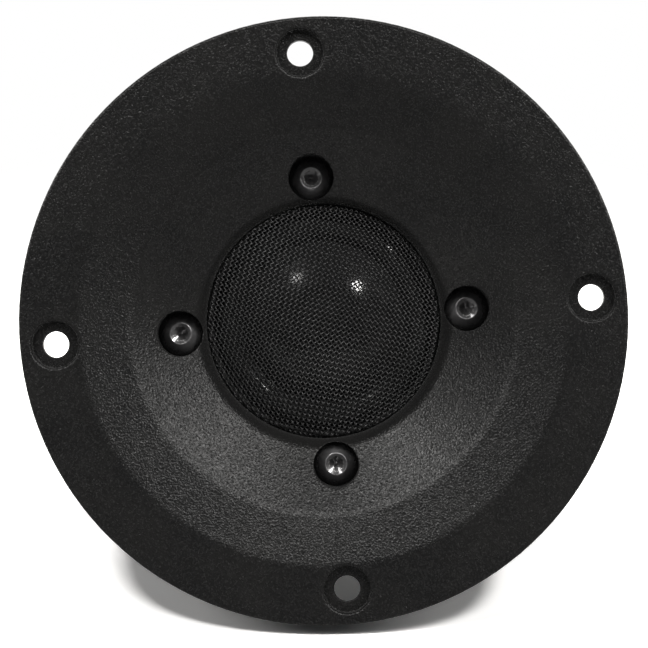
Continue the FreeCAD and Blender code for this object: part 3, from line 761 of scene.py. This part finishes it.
def wire_rings(x, z, lift):
    """Rings of points round one wire of the cloth."""
    middle = cloth_point(x, z, lift)
    normal = unit_rows(cloth_point(x, z, lift + 0.01) - middle)
    tangent = unit_rows(np.gradient(middle, axis=0))
    side = unit_rows(np.cross(tangent, normal))
    up = np.cross(side, tangent)
    around = 2 * math.pi * (np.arange(WIRE_SIDES) + 0.5) / WIRE_SIDES
    return middle[:, None, :] + (WIRE * 0.5) * 0.97 * (
        np.cos(around)[None, :, None] * side[:, None, :]
        + np.sin(around)[None, :, None] * up[:, None, :])


def woven_cloth():
    step = WIRE_PITCH / SAMPLES_PER_PITCH
    verts, quads = [], []
    base = 0
    last_wire = int(CLOTH_REACH / WIRE_PITCH)
    rng = np.random.default_rng(7)
    corner = np.arange(WIRE_SIDES)[None, :]
    for family in (0, 1):
        turn = math.radians(CLOTH_TURN + SET_ANGLE * family)
        cos_turn, sin_turn = math.cos(turn), math.sin(turn)
        for k in range(-last_wire, last_wire + 1):
            v = (k + 0.5) * WIRE_PITCH
            if abs(v) > CLOTH_REACH - 0.2:
                continue
            half = math.sqrt(CLOTH_REACH ** 2 - v ** 2)
            n = int(half / step)
            u = np.arange(-n, n + 1) * step
            over_first = (1 if k % 2 == 0 else -1) * (1 if family == 0 else -1)
            lift = over_first * (WIRE * 0.5) * np.sin(math.pi * u / WIRE_PITCH)
            # a slow sideways drift keeps the pitch from looking ruled
            drift = 0.018 * np.sin(u * 0.35 + rng.uniform(0, 6.28)) + rng.uniform(-0.012, 0.012)
            v = v + drift
            rings = wire_rings(u * cos_turn - v * sin_turn, u * sin_turn + v * cos_turn, lift)
            count = len(rings)
            verts.append(rings.reshape(-1, 3))
            row = np.arange(count - 1)[:, None] * WIRE_SIDES
            i = row + corner
            j = row + (corner + 1) % WIRE_SIDES
            around = np.stack([i, j, j + WIRE_SIDES, i + WIRE_SIDES], -1)
            quads.append(around.reshape(-1, 4) + base)
            for end in (0, (count - 1) * WIRE_SIDES):
                s = base + end
                quads.append(np.array([[s, s + 1, s + 2, s + 3], [s, s + 3, s + 4, s + 5]]))
            base += count * WIRE_SIDES
    return quad_solid("grille_cloth", np.concatenate(verts), np.concatenate(quads))


finish_piece(woven_cloth(), "cloth", "frame", "grille_mesh")

# ------------------------------------------------------------------ dome
DOME_RADIUS, DOME_FRONT, _ = extent("dome")
DOME_RISE = 6.2
DOME_THICKNESS = 0.22
DOME_SPHERE = (DOME_RADIUS ** 2 + DOME_RISE ** 2) / (2 * DOME_RISE)
DOME_CENTRE_Y = DOME_FRONT + DOME_SPHERE


def dome_arc(sphere, rim, steps=56):
    """(r, y) from next to the pole out to the rim radius."""
    end = math.asin(rim / sphere)
    return [(sphere * math.sin(end * i / steps), DOME_CENTRE_Y - sphere * math.cos(end * i / steps))
            for i in range(1, steps + 1)]


def dome_piece():
    """Thin spherical shell with faint lumps, closed by a fan of triangles at each pole."""
    segments = 192
    outer = dome_arc(DOME_SPHERE, DOME_RADIUS)
    inner = dome_arc(DOME_SPHERE - DOME_THICKNESS, DOME_RADIUS - 0.12)
    profile = outer + inner[::-1]
    n = len(profile)

    def lumps(r, y, a):
        spot = Vector((r * math.cos(a) * 0.18, y * 0.1, r * math.sin(a) * 0.18))
        return 0.0, 0.012 * smooth_noise(spot)

    verts = revolve(profile, full_turn(segments), lumps)
    front_pole = len(verts)
    rear_pole = front_pole + 1
    verts += [(0, DOME_FRONT, 0), (0, DOME_FRONT + DOME_THICKNESS, 0)]
    faces = skin(segments, n, wrap_points=False)
    for i in range(segments):
        k = (i + 1) % segments
        faces.append((front_pole, i * n, k * n))
        faces.append((rear_pole, k * n + n - 1, i * n + n - 1))
    return solid("silk_dome", verts, faces)


dome = dome_piece()
finish_piece(dome, "silk", "diaphragm", "dome")

# ------------------------------------------------------------------ surround
INNER_LAND_R = DOME_RADIUS + 0.05
INNER_LAND_Y = 9.50
ROLL_R, ROLL_Y, ROLL_RADIUS = 16.42, 10.05, 1.95
ROLL_START, ROLL_END = math.radians(208), math.radians(368)
ROLL_STEP_OUT = 0.15                       # from the end of the roll to the outer land
OUTER_LAND_R = 20.35
OUTER_LAND_Y = 11.22
SURROUND_HALF_THICKNESS = 0.085


def surround_piece():
    """Roll of coated silk bulging forward, from an inner land at the dome to a flat outer land."""
    middle = [(INNER_LAND_R + 0.16 * i, INNER_LAND_Y - 0.05 * i) for i in range(4)]
    for i in range(33):
        a = ROLL_START + (ROLL_END - ROLL_START) * i / 32
        middle.append((ROLL_R + ROLL_RADIUS * math.cos(a), ROLL_Y + ROLL_RADIUS * math.sin(a)))
    end_r, end_y = middle[-1]
    for i in range(1, 6):
        t = i / 5
        middle.append((end_r + ROLL_STEP_OUT * t, end_y + (11.20 - end_y) * (t ** 0.8)))
    for i in range(1, 9):
        r = end_r + ROLL_STEP_OUT + (OUTER_LAND_R - end_r - ROLL_STEP_OUT) * i / 8
        middle.append((r, OUTER_LAND_Y))
    middle = np.array(middle)
    for _ in range(3):
        middle[1:-1] = middle[:-2] * 0.25 + middle[1:-1] * 0.5 + middle[2:] * 0.25
    along = unit_rows(np.gradient(middle, axis=0))
    forwards = np.stack([along[:, 1], -along[:, 0]], 1)
    front = middle + forwards * SURROUND_HALF_THICKNESS
    back = middle - forwards * SURROUND_HALF_THICKNESS

    def ripple(r, y, a):
        s = 0.010 * smooth_noise(Vector((math.cos(a) * r * 0.35, math.sin(a) * r * 0.35, y * 0.2)))
        return s * 0.3, s

    return lathe("silk_surround", list(front) + list(back[::-1]), 220, ripple)


surround = surround_piece()
finish_piece(surround, "silk", node="surround")
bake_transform(surround)


# ------------------------------------------------------------------ coil and leads
def winding():
    """The coil as one ring, its outer side ribbed by the turns of round wire."""
    r1, front, rear = extent("voice_coil")
    r0 = DOME_RADIUS + 0.012
    y0, y1 = front + 0.02, rear - 0.02
    turns = 24
    pitch = (y1 - y0) / turns
    wire_radius = pitch / 2
    profile = []
    for k in range(turns):
        centre = y0 + pitch * (k + 0.5)
        for i in range(6):
            a = math.radians(-90 + 180 * (i + 0.5) / 6)
            profile.append((r1 - wire_radius + wire_radius * math.cos(a),
                            centre + wire_radius * math.sin(a)))
    profile += [(r0 + 0.02, y1), (r0, y1 - 0.05), (r0, y0 + 0.05), (r0 + 0.02, y0)]

    def uneven(r, y, a):
        return 0.004 * smooth_noise(Vector((math.cos(a) * 9, math.sin(a) * 9, y * 3))), 0.0

    return lathe("coil_winding", profile, 160, uneven)


finish_piece(winding(), "wire", "diaphragm", "voice_coil")

# Stations of a lead. First (radius beyond the winding, y), then (radius from the axis, y).
LEAD_AT_COIL = [(0, 12.60), (0.01, 11.9), (0.02, 11.35), (0.2, 11.0)]
LEAD_OUTWARDS = [
    (15.3, 10.88), (16.6, 10.86), (17.8, 10.98), (18.7, 11.40),
    (19.6, 11.62), (20.5, 11.40), (21.1, 11.18), (21.5, 11.06),
]
LEAD_OFFSETS = {"lead_wire_positive": 3.0, "lead_wire_negative": -3.6}  # beside the terminal line
STRANDS = 3
STRAND_RADIUS = 0.046
STRAND_LAY = 0.042                         # from the middle of the lead to the middle of a strand
STRAND_SIDES = 6


def strand_tube(name, points):
    """Closed round tube along points."""
    points = np.array(points, float)
    tangents = unit_rows(np.gradient(points, axis=0))
    verts = []
    for point, tangent in zip(points, tangents):
        side = np.cross(tangent, (0.2, 0.9, 0.1))
        side /= np.linalg.norm(side)
        other = np.cross(tangent, side)
        for a in full_turn(STRAND_SIDES):
            verts.append(point + STRAND_RADIUS * (math.cos(a) * side + math.sin(a) * other))
    return solid(name, verts, capped_skin(len(points), STRAND_SIDES))


def catmull_rom(stations, steps):
    """Smooth (r, y) path through the stations."""
    path = []
    for i in range(len(stations) - 1):
        p0 = stations[max(i - 1, 0)]
        p1, p2 = stations[i], stations[i + 1]
        p3 = stations[min(i + 2, len(stations) - 1)]
        for s in range(steps):
            t = s / steps
            path.append([
                0.5 * (2 * b + (c - a) * t + (2 * a - 5 * b + 4 * c - d) * t * t
                       + (3 * b - a - 3 * c + d) * t ** 3)
                for a, b, c, d in zip(p0, p1, p2, p3)])
    path.append(list(stations[-1]))
    return path


def lead(name, offset):
    """Twisted flex from the winding, behind the surround and out to the terminal strip."""
    cos_t, sin_t = math.cos(TERMINAL_ANGLE), math.sin(TERMINAL_ANGLE)
    start = math.sqrt((DOME_RADIUS + 0.15) ** 2 - offset ** 2)
    inset = 0.05 if offset < 0 else 0.0
    stations = [(start + dr, y) for dr, y in LEAD_AT_COIL] + LEAD_OUTWARDS[:1]
    stations += [(r - inset, y) for r, y in LEAD_OUTWARDS[1:]]
    strands = []
    for k in range(STRANDS):
        path = []
        for i, (r, y) in enumerate(catmull_rom(stations, steps=6)):
            twist = i * 0.55 + k * 2 * math.pi / STRANDS
            aside = offset + STRAND_LAY * math.cos(twist)
            path.append((r * cos_t - aside * sin_t, y + STRAND_LAY * math.sin(twist),
                         r * sin_t + aside * cos_t))
        strands.append(strand_tube(f"{name}_strand{k}", path))
    bm = bmesh.new()
    for strand in strands:
        bm.from_mesh(strand.data)
    mesh = bpy.data.meshes.new(name)
    bm.to_mesh(mesh)
    bm.free()
    for strand in strands:
        bpy.data.objects.remove(strand)
    return link_mesh(name, mesh)


for lead_name, lead_offset in LEAD_OFFSETS.items():
    flex = lead(lead_name, lead_offset)
    finish_piece(flex, "tinned", node="lead_wires")
    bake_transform(flex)


# ------------------------------------------------------------------ soft pieces
def crowned(r0, r1, y0, y1, edge, crown):
    """Ring section whose flat faces swell a little between their edges."""
    profile = []
    middle = (y0 + y1) / 2
    for r, y in rounded_ring(r0, r1, y0, y1, edge, across=9, deep=4, arc=4):
        t = (r - r0) / (r1 - r0)
        swell = max(0.0, 1 - (2 * t - 1) ** 2)
        profile.append((r, y + crown * swell * (1 if y > middle else -1)))
    return profile


def soft_ring(name, node, material, section, segments, amount, scale, seed):
    ob = lathe(name, section, segments)
    displace(ob, amount, scale, seed)
    finish_piece(ob, material, "frame", node)


_, front, rear = extent("flange_gasket")
soft_ring("flange_foam_seal", "flange_gasket", "foam",
          crowned(r0=48.93, r1=50.87, y0=front + 0.02, y1=rear - 0.06, edge=0.2, crown=0.05),
          segments=900, amount=0.035, scale=1.3, seed=3.0)

outer_radius, front, rear = extent("pole_felt")
soft_ring("pole_felt_ring", "pole_felt", "felt",
          crowned(r0=7.45, r1=outer_radius - 0.05, y0=front + 0.03, y1=rear - 0.01,
                  edge=0.28, crown=0.04),
          segments=260, amount=0.05, scale=1.7, seed=11.0)


def open_felt_ring():
    """Felt strip bent into a ring that stays open at the terminals, where the leads pass."""
    _, front, rear = extent("surround_felt")
    profile = rounded_ring(15.36, 17.74, front + 0.03, rear - 0.02, edge=0.14,
                           across=6, deep=3, arc=3)
    segments = 300
    half_gap = 18.0
    first = math.degrees(TERMINAL_ANGLE) + half_gap
    angles = [math.radians(first + (360 - 2 * half_gap) * i / segments)
              for i in range(segments + 1)]

    def fuzz(r, y, a):
        w = 0.03 * rough_noise(r * math.cos(a) * 1.6, y * 1.6, r * math.sin(a) * 1.6)
        return w, w * 0.5

    return solid("surround_felt_ring", revolve(profile, angles, fuzz),
                 capped_skin(segments + 1, len(profile)))


finish_piece(open_felt_ring(), "felt", "frame", "surround_felt")


def soft_disc(name, node, material, side_gap, face_gap, edge, segments, amount, scale, seed,
              crown=0.0):
    """Disc with rounded edges, smaller than the CAD piece by the gaps."""
    radius, front, rear = extent(node)
    r = radius - side_gap
    y0, y1 = front + face_gap, rear - face_gap
    flat = r - edge
    steps = 26
    profile = [(r * 0.02, y0)]
    profile += [(flat * i / steps, y0 - crown * (1 - (i / steps) ** 2))
                for i in range(1, steps + 1)]
    for degrees in range(15, 91, 15):
        a = math.radians(degrees)
        profile.append((flat + edge * math.sin(a), y0 + edge - edge * math.cos(a)))
    profile += [(r, y0 + edge + (y1 - y0 - 2 * edge) * i / 5) for i in range(1, 5)]
    for degrees in range(0, 91, 15):
        a = math.radians(degrees)
        profile.append((flat + edge * math.cos(a), y1 - edge + edge * math.sin(a)))
    profile += [(flat * i / steps, y1 + crown * (1 - (i / steps) ** 2))
                for i in range(steps - 1, 0, -1)]
    profile.append((r * 0.02, y1))
    n = len(profile)
    faces = skin(segments, n, wrap_points=False)
    faces.append(tuple(i * n for i in range(segments)))
    faces.append(tuple(i * n + n - 1 for i in reversed(range(segments))))
    ob = solid(name, revolve(profile, full_turn(segments)), faces)
    displace(ob, amount, scale, seed, octaves=4)
    finish_piece(ob, material, "frame", node)


soft_disc("vent_felt_plug", "vent_plug", "felt", side_gap=0.12, face_gap=0.1, edge=0.6,
          segments=96, amount=0.09, scale=1.1, seed=5.0)
soft_disc("chamber_wool_pad", "chamber_wadding", "wool", side_gap=0.45, face_gap=0.45, edge=2.6,
          segments=180, amount=0.42, scale=0.32, seed=9.0, crown=0.2)

CUP_SCREW_ANGLES = [math.radians(90 + 120 * k) for k in range(3)]
CUP_SCREW_CIRCLE = 29.3                    # radius of the circle the screws stand on
CUP_SCREW_HOLE = 1.4                       # radius of a hole


def drill(ob, x, y, z):
    """Cuts one screw hole along Y, centred on a point in mm."""
    bpy.ops.mesh.primitive_cylinder_add(
        vertices=48, radius=CUP_SCREW_HOLE * MM, depth=4 * MM,
        location=(x * MM, y * MM, z * MM), rotation=(math.pi / 2, 0, 0))
    cutter = bpy.context.object
    cut = ob.modifiers.new("hole", "BOOLEAN")
    cut.object = cutter
    cut.operation = "DIFFERENCE"
    cut.solver = "EXACT"
    depsgraph = bpy.context.evaluated_depsgraph_get()
    mesh = bpy.data.meshes.new_from_object(ob.evaluated_get(depsgraph))
    ob.modifiers.clear()
    ob.data = mesh
    bpy.data.objects.remove(cutter)


def cup_gasket():
    """Seal between the yoke and the rear cup: its edge bulges, most of all by the screws."""
    radius, front, rear = extent("rear_cup_gasket")
    y0, y1 = front + 0.005, rear - 0.005
    middle, half = (y0 + y1) / 2, (y1 - y0) / 2
    r0, r1 = 24.95, radius - 0.12
    profile = []
    for i in range(9):
        a = math.radians(-90 + 180 * i / 8)
        profile.append((r1 + 0.16 * math.cos(a), middle + half * math.sin(a)))
    profile += [(r1 - (r1 - r0) * i / 12, y1) for i in range(1, 12)]
    for i in range(7):
        a = math.radians(90 + 180 * i / 6)
        profile.append((r0 + 0.10 * math.cos(a), middle + half * math.sin(a)))
    profile += [(r0 + (r1 - r0) * i / 12, y0) for i in range(1, 12)]

    def squeeze(r, y, a):
        if r < r1 - 0.3:
            return 0.0, 0.0
        near = max(math.cos(a - screw) for screw in CUP_SCREW_ANGLES)
        lumps = 0.02 * smooth_noise(Vector((math.cos(a) * 22, math.sin(a) * 22, y)))
        return 0.07 * max(0.0, near) ** 12 + lumps, 0.0

    ob = lathe("rear_cup_seal", profile, 420, squeeze)
    for angle in CUP_SCREW_ANGLES:
        drill(ob, *polar_point(angle, CUP_SCREW_CIRCLE, middle))
    sharpen(ob, degrees=40)
    return ob


finish_piece(cup_gasket(), "foam", "frame", "rear_cup_gasket")


# ------------------------------------------------------------------ glue round the magnet
def epoxy_ring(name, r, y, seed):
    """Uneven bead of adhesive squeezed out at a face of the magnet."""
    size = 0.34

    def run(point_r, point_y, a):
        lumps = rough_noise(math.cos(a) * 6 + seed, math.sin(a) * 6, seed)
        k = 0.55 + 0.75 * max(0.0, 0.5 + 0.9 * lumps)
        return (point_r - r) * (k - 1) * 0.9, (point_y - y) * (k - 1) * 0.5

    profile = [(r + size * math.cos(a) * 0.8, y + size * math.sin(a) * 0.55)
               for a in full_turn(10)]
    finish_piece(lathe(name, profile, 480, run), "glue", "frame")


_, magnet_front, magnet_rear = extent("ferrite_magnet")
epoxy_ring("magnet_glue_front", 33.95, magnet_front, seed=2.0)
epoxy_ring("magnet_glue_rear", 33.45, magnet_rear, seed=7.0)


# ------------------------------------------------------------------ stage (metres)
ROLL = math.radians(5.04)                  # turn of the view about the part's axis
up = Vector((math.sin(ROLL), 0.0, math.cos(ROLL)))
right = Vector((math.cos(ROLL), 0.0, -math.sin(ROLL)))
forward = Vector((0.0, 1.0, 0.0))
RIM = cad_hi.x
FACE_Y = cad_lo.y

# The part rests on the bottom of its flange and on the edge of its rear cup, so it leans back,
# and the view is square to its leaning face. The table is tilted in the part's own frame.
REST_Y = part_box("rear_cup")[1].y
REST_R = 0.0265
LEAN = math.atan((RIM - REST_R) / REST_Y)
vertical = up * math.cos(LEAN) - forward * math.sin(LEAN)
away = forward * math.cos(LEAN) + up * math.sin(LEAN)

TABLE_HALF = 1.6
TABLE_CELLS = 24
TABLE_GAP = 0.00005                        # keeps the table just clear of the rim
TABLE_GAIN = 2.0                           # extra brightness of the table to the camera


def table_material():
    """White table that reads brighter to the camera than it lights the part."""
    mat = Material("white_table")
    base = mat.two_tone(mat.noise(scale=0.02, detail=3.0), low=0.3, high=0.7,
                        dark=(0.84, 0.84, 0.84), light=(0.88, 0.88, 0.88))
    ray = mat.new("ShaderNodeLightPath", {}).outputs
    # glossy rays see the table darker: painted shade that dims its reflection in the dome
    base = mat.mix(ray["Is Glossy Ray"], base, (0.42, 0.42, 0.42))
    base = mat.mix(ray["Is Camera Ray"], base, (TABLE_GAIN,) * 3, blend="MULTIPLY")
    relief = mat.noise(scale=0.8, detail=3.0, rough=0.6)
    mat.set(base=base, rough=0.8, spec=0.0, normal=mat.bump(relief, strength=0.05, distance=0.02))
    # far from the part the table melts into the white background
    distance = mat.vector("LENGTH", {0: mat.place}, "Value")
    far = mat.times(mat.smooth(distance, low=85.0, high=170.0), by=ray["Is Camera Ray"])
    white = mat.add("ShaderNodeEmission", {"Color": (1, 1, 1)})
    faded = mat.add("ShaderNodeMixShader", {0: far, 1: mat.bsdf.outputs[0], 2: white})
    # seen from below the table is clear, so that low views from behind still show the part
    below = mat.add("ShaderNodeNewGeometry", {}, "Backfacing")
    clear = mat.add("ShaderNodeBsdfTransparent", {})
    sided = mat.add("ShaderNodeMixShader", {0: below, 1: faded, 2: clear})
    mat.put(mat.out.inputs[0], sided)
    return mat.data


def table_piece():
    n = TABLE_CELLS
    origin = -up * RIM - vertical * TABLE_GAP
    verts, faces = [], []
    for i in range(n + 1):
        for j in range(n + 1):
            a, b = (i / n - 0.5) * TABLE_HALF * 2, (j / n - 0.5) * TABLE_HALF * 2
            verts.append(origin + right * a + away * b)
    for i in range(n):
        for j in range(n):
            q = i * (n + 1) + j
            faces.append((q, q + n + 1, q + n + 2, q + 1))
    ob = new_object("studio_table", verts, faces)
    ob.data.materials.append(table_material())
    return ob


table = table_piece()

# ------------------------------------------------------------------ lamps
LAMP_DISTANCE = 1.0                        # of every lamp from the origin
LAMP_COLOUR = (1.0, 0.985, 0.965)


def disc_lamp(name, direction, size, watts):
    """Round soft lamp in a direction from the origin, aimed back at it."""
    light = bpy.data.lights.new(name, "AREA")
    light.shape = "DISK"
    light.size = size
    light.energy = watts
    light.color = LAMP_COLOUR
    ob = bpy.data.objects.new(name, light)
    bpy.context.scene.collection.objects.link(ob)
    ob.location = direction * LAMP_DISTANCE
    ob.rotation_mode = "QUATERNION"
    ob.rotation_quaternion = (-direction).to_track_quat("-Z", "Y")
    return ob


def view_lamp(name, azimuth, off_axis, size, watts):
    """azimuth runs in the view from the right towards the top, off_axis from the front axis."""
    a, t = math.radians(azimuth), math.radians(off_axis)
    across = (right * math.cos(a) + up * math.sin(a)) * math.sin(t)
    return disc_lamp(name, across - forward * math.cos(t), size, watts)


def table_lamp(name, side, back, size, watts):
    """side and back tilt the lamp from the vertical to the right and away from the camera."""
    a, b = math.radians(side), math.radians(back)
    direction = (vertical + right * math.tan(a) + away * math.tan(b)).normalized()
    return disc_lamp(name, direction, size, watts)


view_lamp("lamp_left", azimuth=121.0, off_axis=57.0, size=0.15, watts=0.5)
view_lamp("lamp_right", azimuth=47.0, off_axis=57.0, size=0.16, watts=1.0)
# the two bright lamps that show in the dome
glints = [
    view_lamp("glint_left", azimuth=121.0, off_axis=57.0, size=0.15, watts=9.0),
    view_lamp("glint_right", azimuth=45.8, off_axis=53.5, size=0.18, watts=11.5),
]
# soft light from the room in front: azimuth, angle off the axis, diameter, watts
ROOM = [
    (0, 60, 0.50, 0.17), (28, 43, 0.40, 4.6), (60, 46, 0.36, 3.7), (90, 38, 0.45, 4.0),
    (120, 46, 0.36, 4.3), (150, 40, 0.45, 2.45), (180, 52, 0.50, 0.11), (205, 18, 0.30, 0.26),
    (335, 18, 0.30, 0.32), (205, 52, 0.40, 0.58), (335, 52, 0.40, 0.32), (270, 14, 0.25, 0.10),
]
# soft light from behind the flange, in the same columns
BACK = [
    (25, 108, 0.55, 7.0), (155, 108, 0.55, 7.0), (90, 140, 0.60, 3.0),
    (205, 125, 0.40, 1.5), (335, 125, 0.40, 1.5),
]
# over the table: tilt to the right, tilt away from the camera, diameter, watts
OVERHEAD = [
    (-26.0, -7.0, 0.16, 5.0), (37.0, -2.0, 0.16, 5.0), (4.0, 3.0, 0.22, 5.0),
    (-62.0, -4.0, 0.50, 1.9), (62.0, -4.0, 0.50, 1.4),
]
room_lamps = [view_lamp("room_%02d" % k, *row) for k, row in enumerate(ROOM)]
back_lamps = [view_lamp("back_%02d" % k, *row) for k, row in enumerate(BACK)]
table_lamps = [table_lamp("overhead_%d" % k, *row) for k, row in enumerate(OVERHEAD)]


def link_lights(lights, name, objects, state="INCLUDE"):
    """Lets the lights reach only the objects, or with EXCLUDE all but them."""
    group = bpy.data.collections.new(name)
    for ob in objects:
        group.objects.link(ob)
    for entry in group.collection_objects:
        entry.light_linking.link_state = state
    for light in lights:
        light.light_linking.receiver_collection = group


glossy = [dome, surround]
upper_left = room_lamps[4:6]
other_soft = room_lamps[:4] + room_lamps[6:] + back_lamps
link_lights(table_lamps, "lit_by_overhead", [table])
link_lights(glints, "lit_by_glints", glossy + [NODES["faceplate_screws"]])
link_lights(other_soft, "not_lit_by_room", [table] + glossy, "EXCLUDE")
link_lights(upper_left, "not_lit_by_side",
            [table, bpy.data.objects["grille_cloth"]] + glossy, "EXCLUDE")


# ------------------------------------------------------------------ world and camera
def surroundings():
    """White to the camera; as a light only a faint glow, stronger from behind the part."""
    world = bpy.data.worlds.new("studio")
    bpy.context.scene.world = world
    world.use_nodes = True
    nodes = Nodes(world.node_tree)
    direction = nodes.add("ShaderNodeTexCoord", {}, "Generated")
    behind = nodes.add("ShaderNodeVectorMath", {0: direction, 1: tuple(forward)}, "Value",
                       operation="DOT_PRODUCT")
    glow = nodes.add("ShaderNodeMapRange", {
        "Value": behind, "From Min": -0.1, "From Max": 0.7, "To Min": 0.03, "To Max": 0.38},
        interpolation_type="SMOOTHSTEP")
    light = nodes.add("ShaderNodeBackground", {"Color": (1, 1, 1), "Strength": glow})
    seen = nodes.add("ShaderNodeBackground", {"Color": (1, 1, 1), "Strength": 1.0})
    camera_ray = nodes.add("ShaderNodeLightPath", {}, "Is Camera Ray")
    both = nodes.add("ShaderNodeMixShader", {0: camera_ray, 1: light, 2: seen})
    nodes.new("ShaderNodeOutputWorld", {0: both})


surroundings()

DISTANCE = 0.45                            # from the camera to the flange's face
FIELD = 0.11043                            # width of the view at the flange's face
SENSOR = 36.0                              # mm
SHIFT_RIGHT, SHIFT_DOWN = 0.000070, 0.00052  # camera off the part's axis

camera_data = bpy.data.cameras.new("camera")
camera_data.sensor_width = SENSOR
camera_data.lens = SENSOR * DISTANCE / FIELD
camera_data.clip_start = 0.01
camera_data.clip_end = 20.0
camera = bpy.data.objects.new("camera", camera_data)
scene = bpy.context.scene
scene.collection.objects.link(camera)
place = Vector((0, FACE_Y, 0)) - forward * DISTANCE + right * SHIFT_RIGHT - up * SHIFT_DOWN
camera.matrix_world = Matrix((
    (right.x, up.x, -forward.x, place.x),
    (right.y, up.y, -forward.y, place.y),
    (right.z, up.z, -forward.z, place.z),
    (0, 0, 0, 1),
))
scene.camera = camera
scene.view_settings.view_transform = "Standard"
scene.view_settings.look = "None"
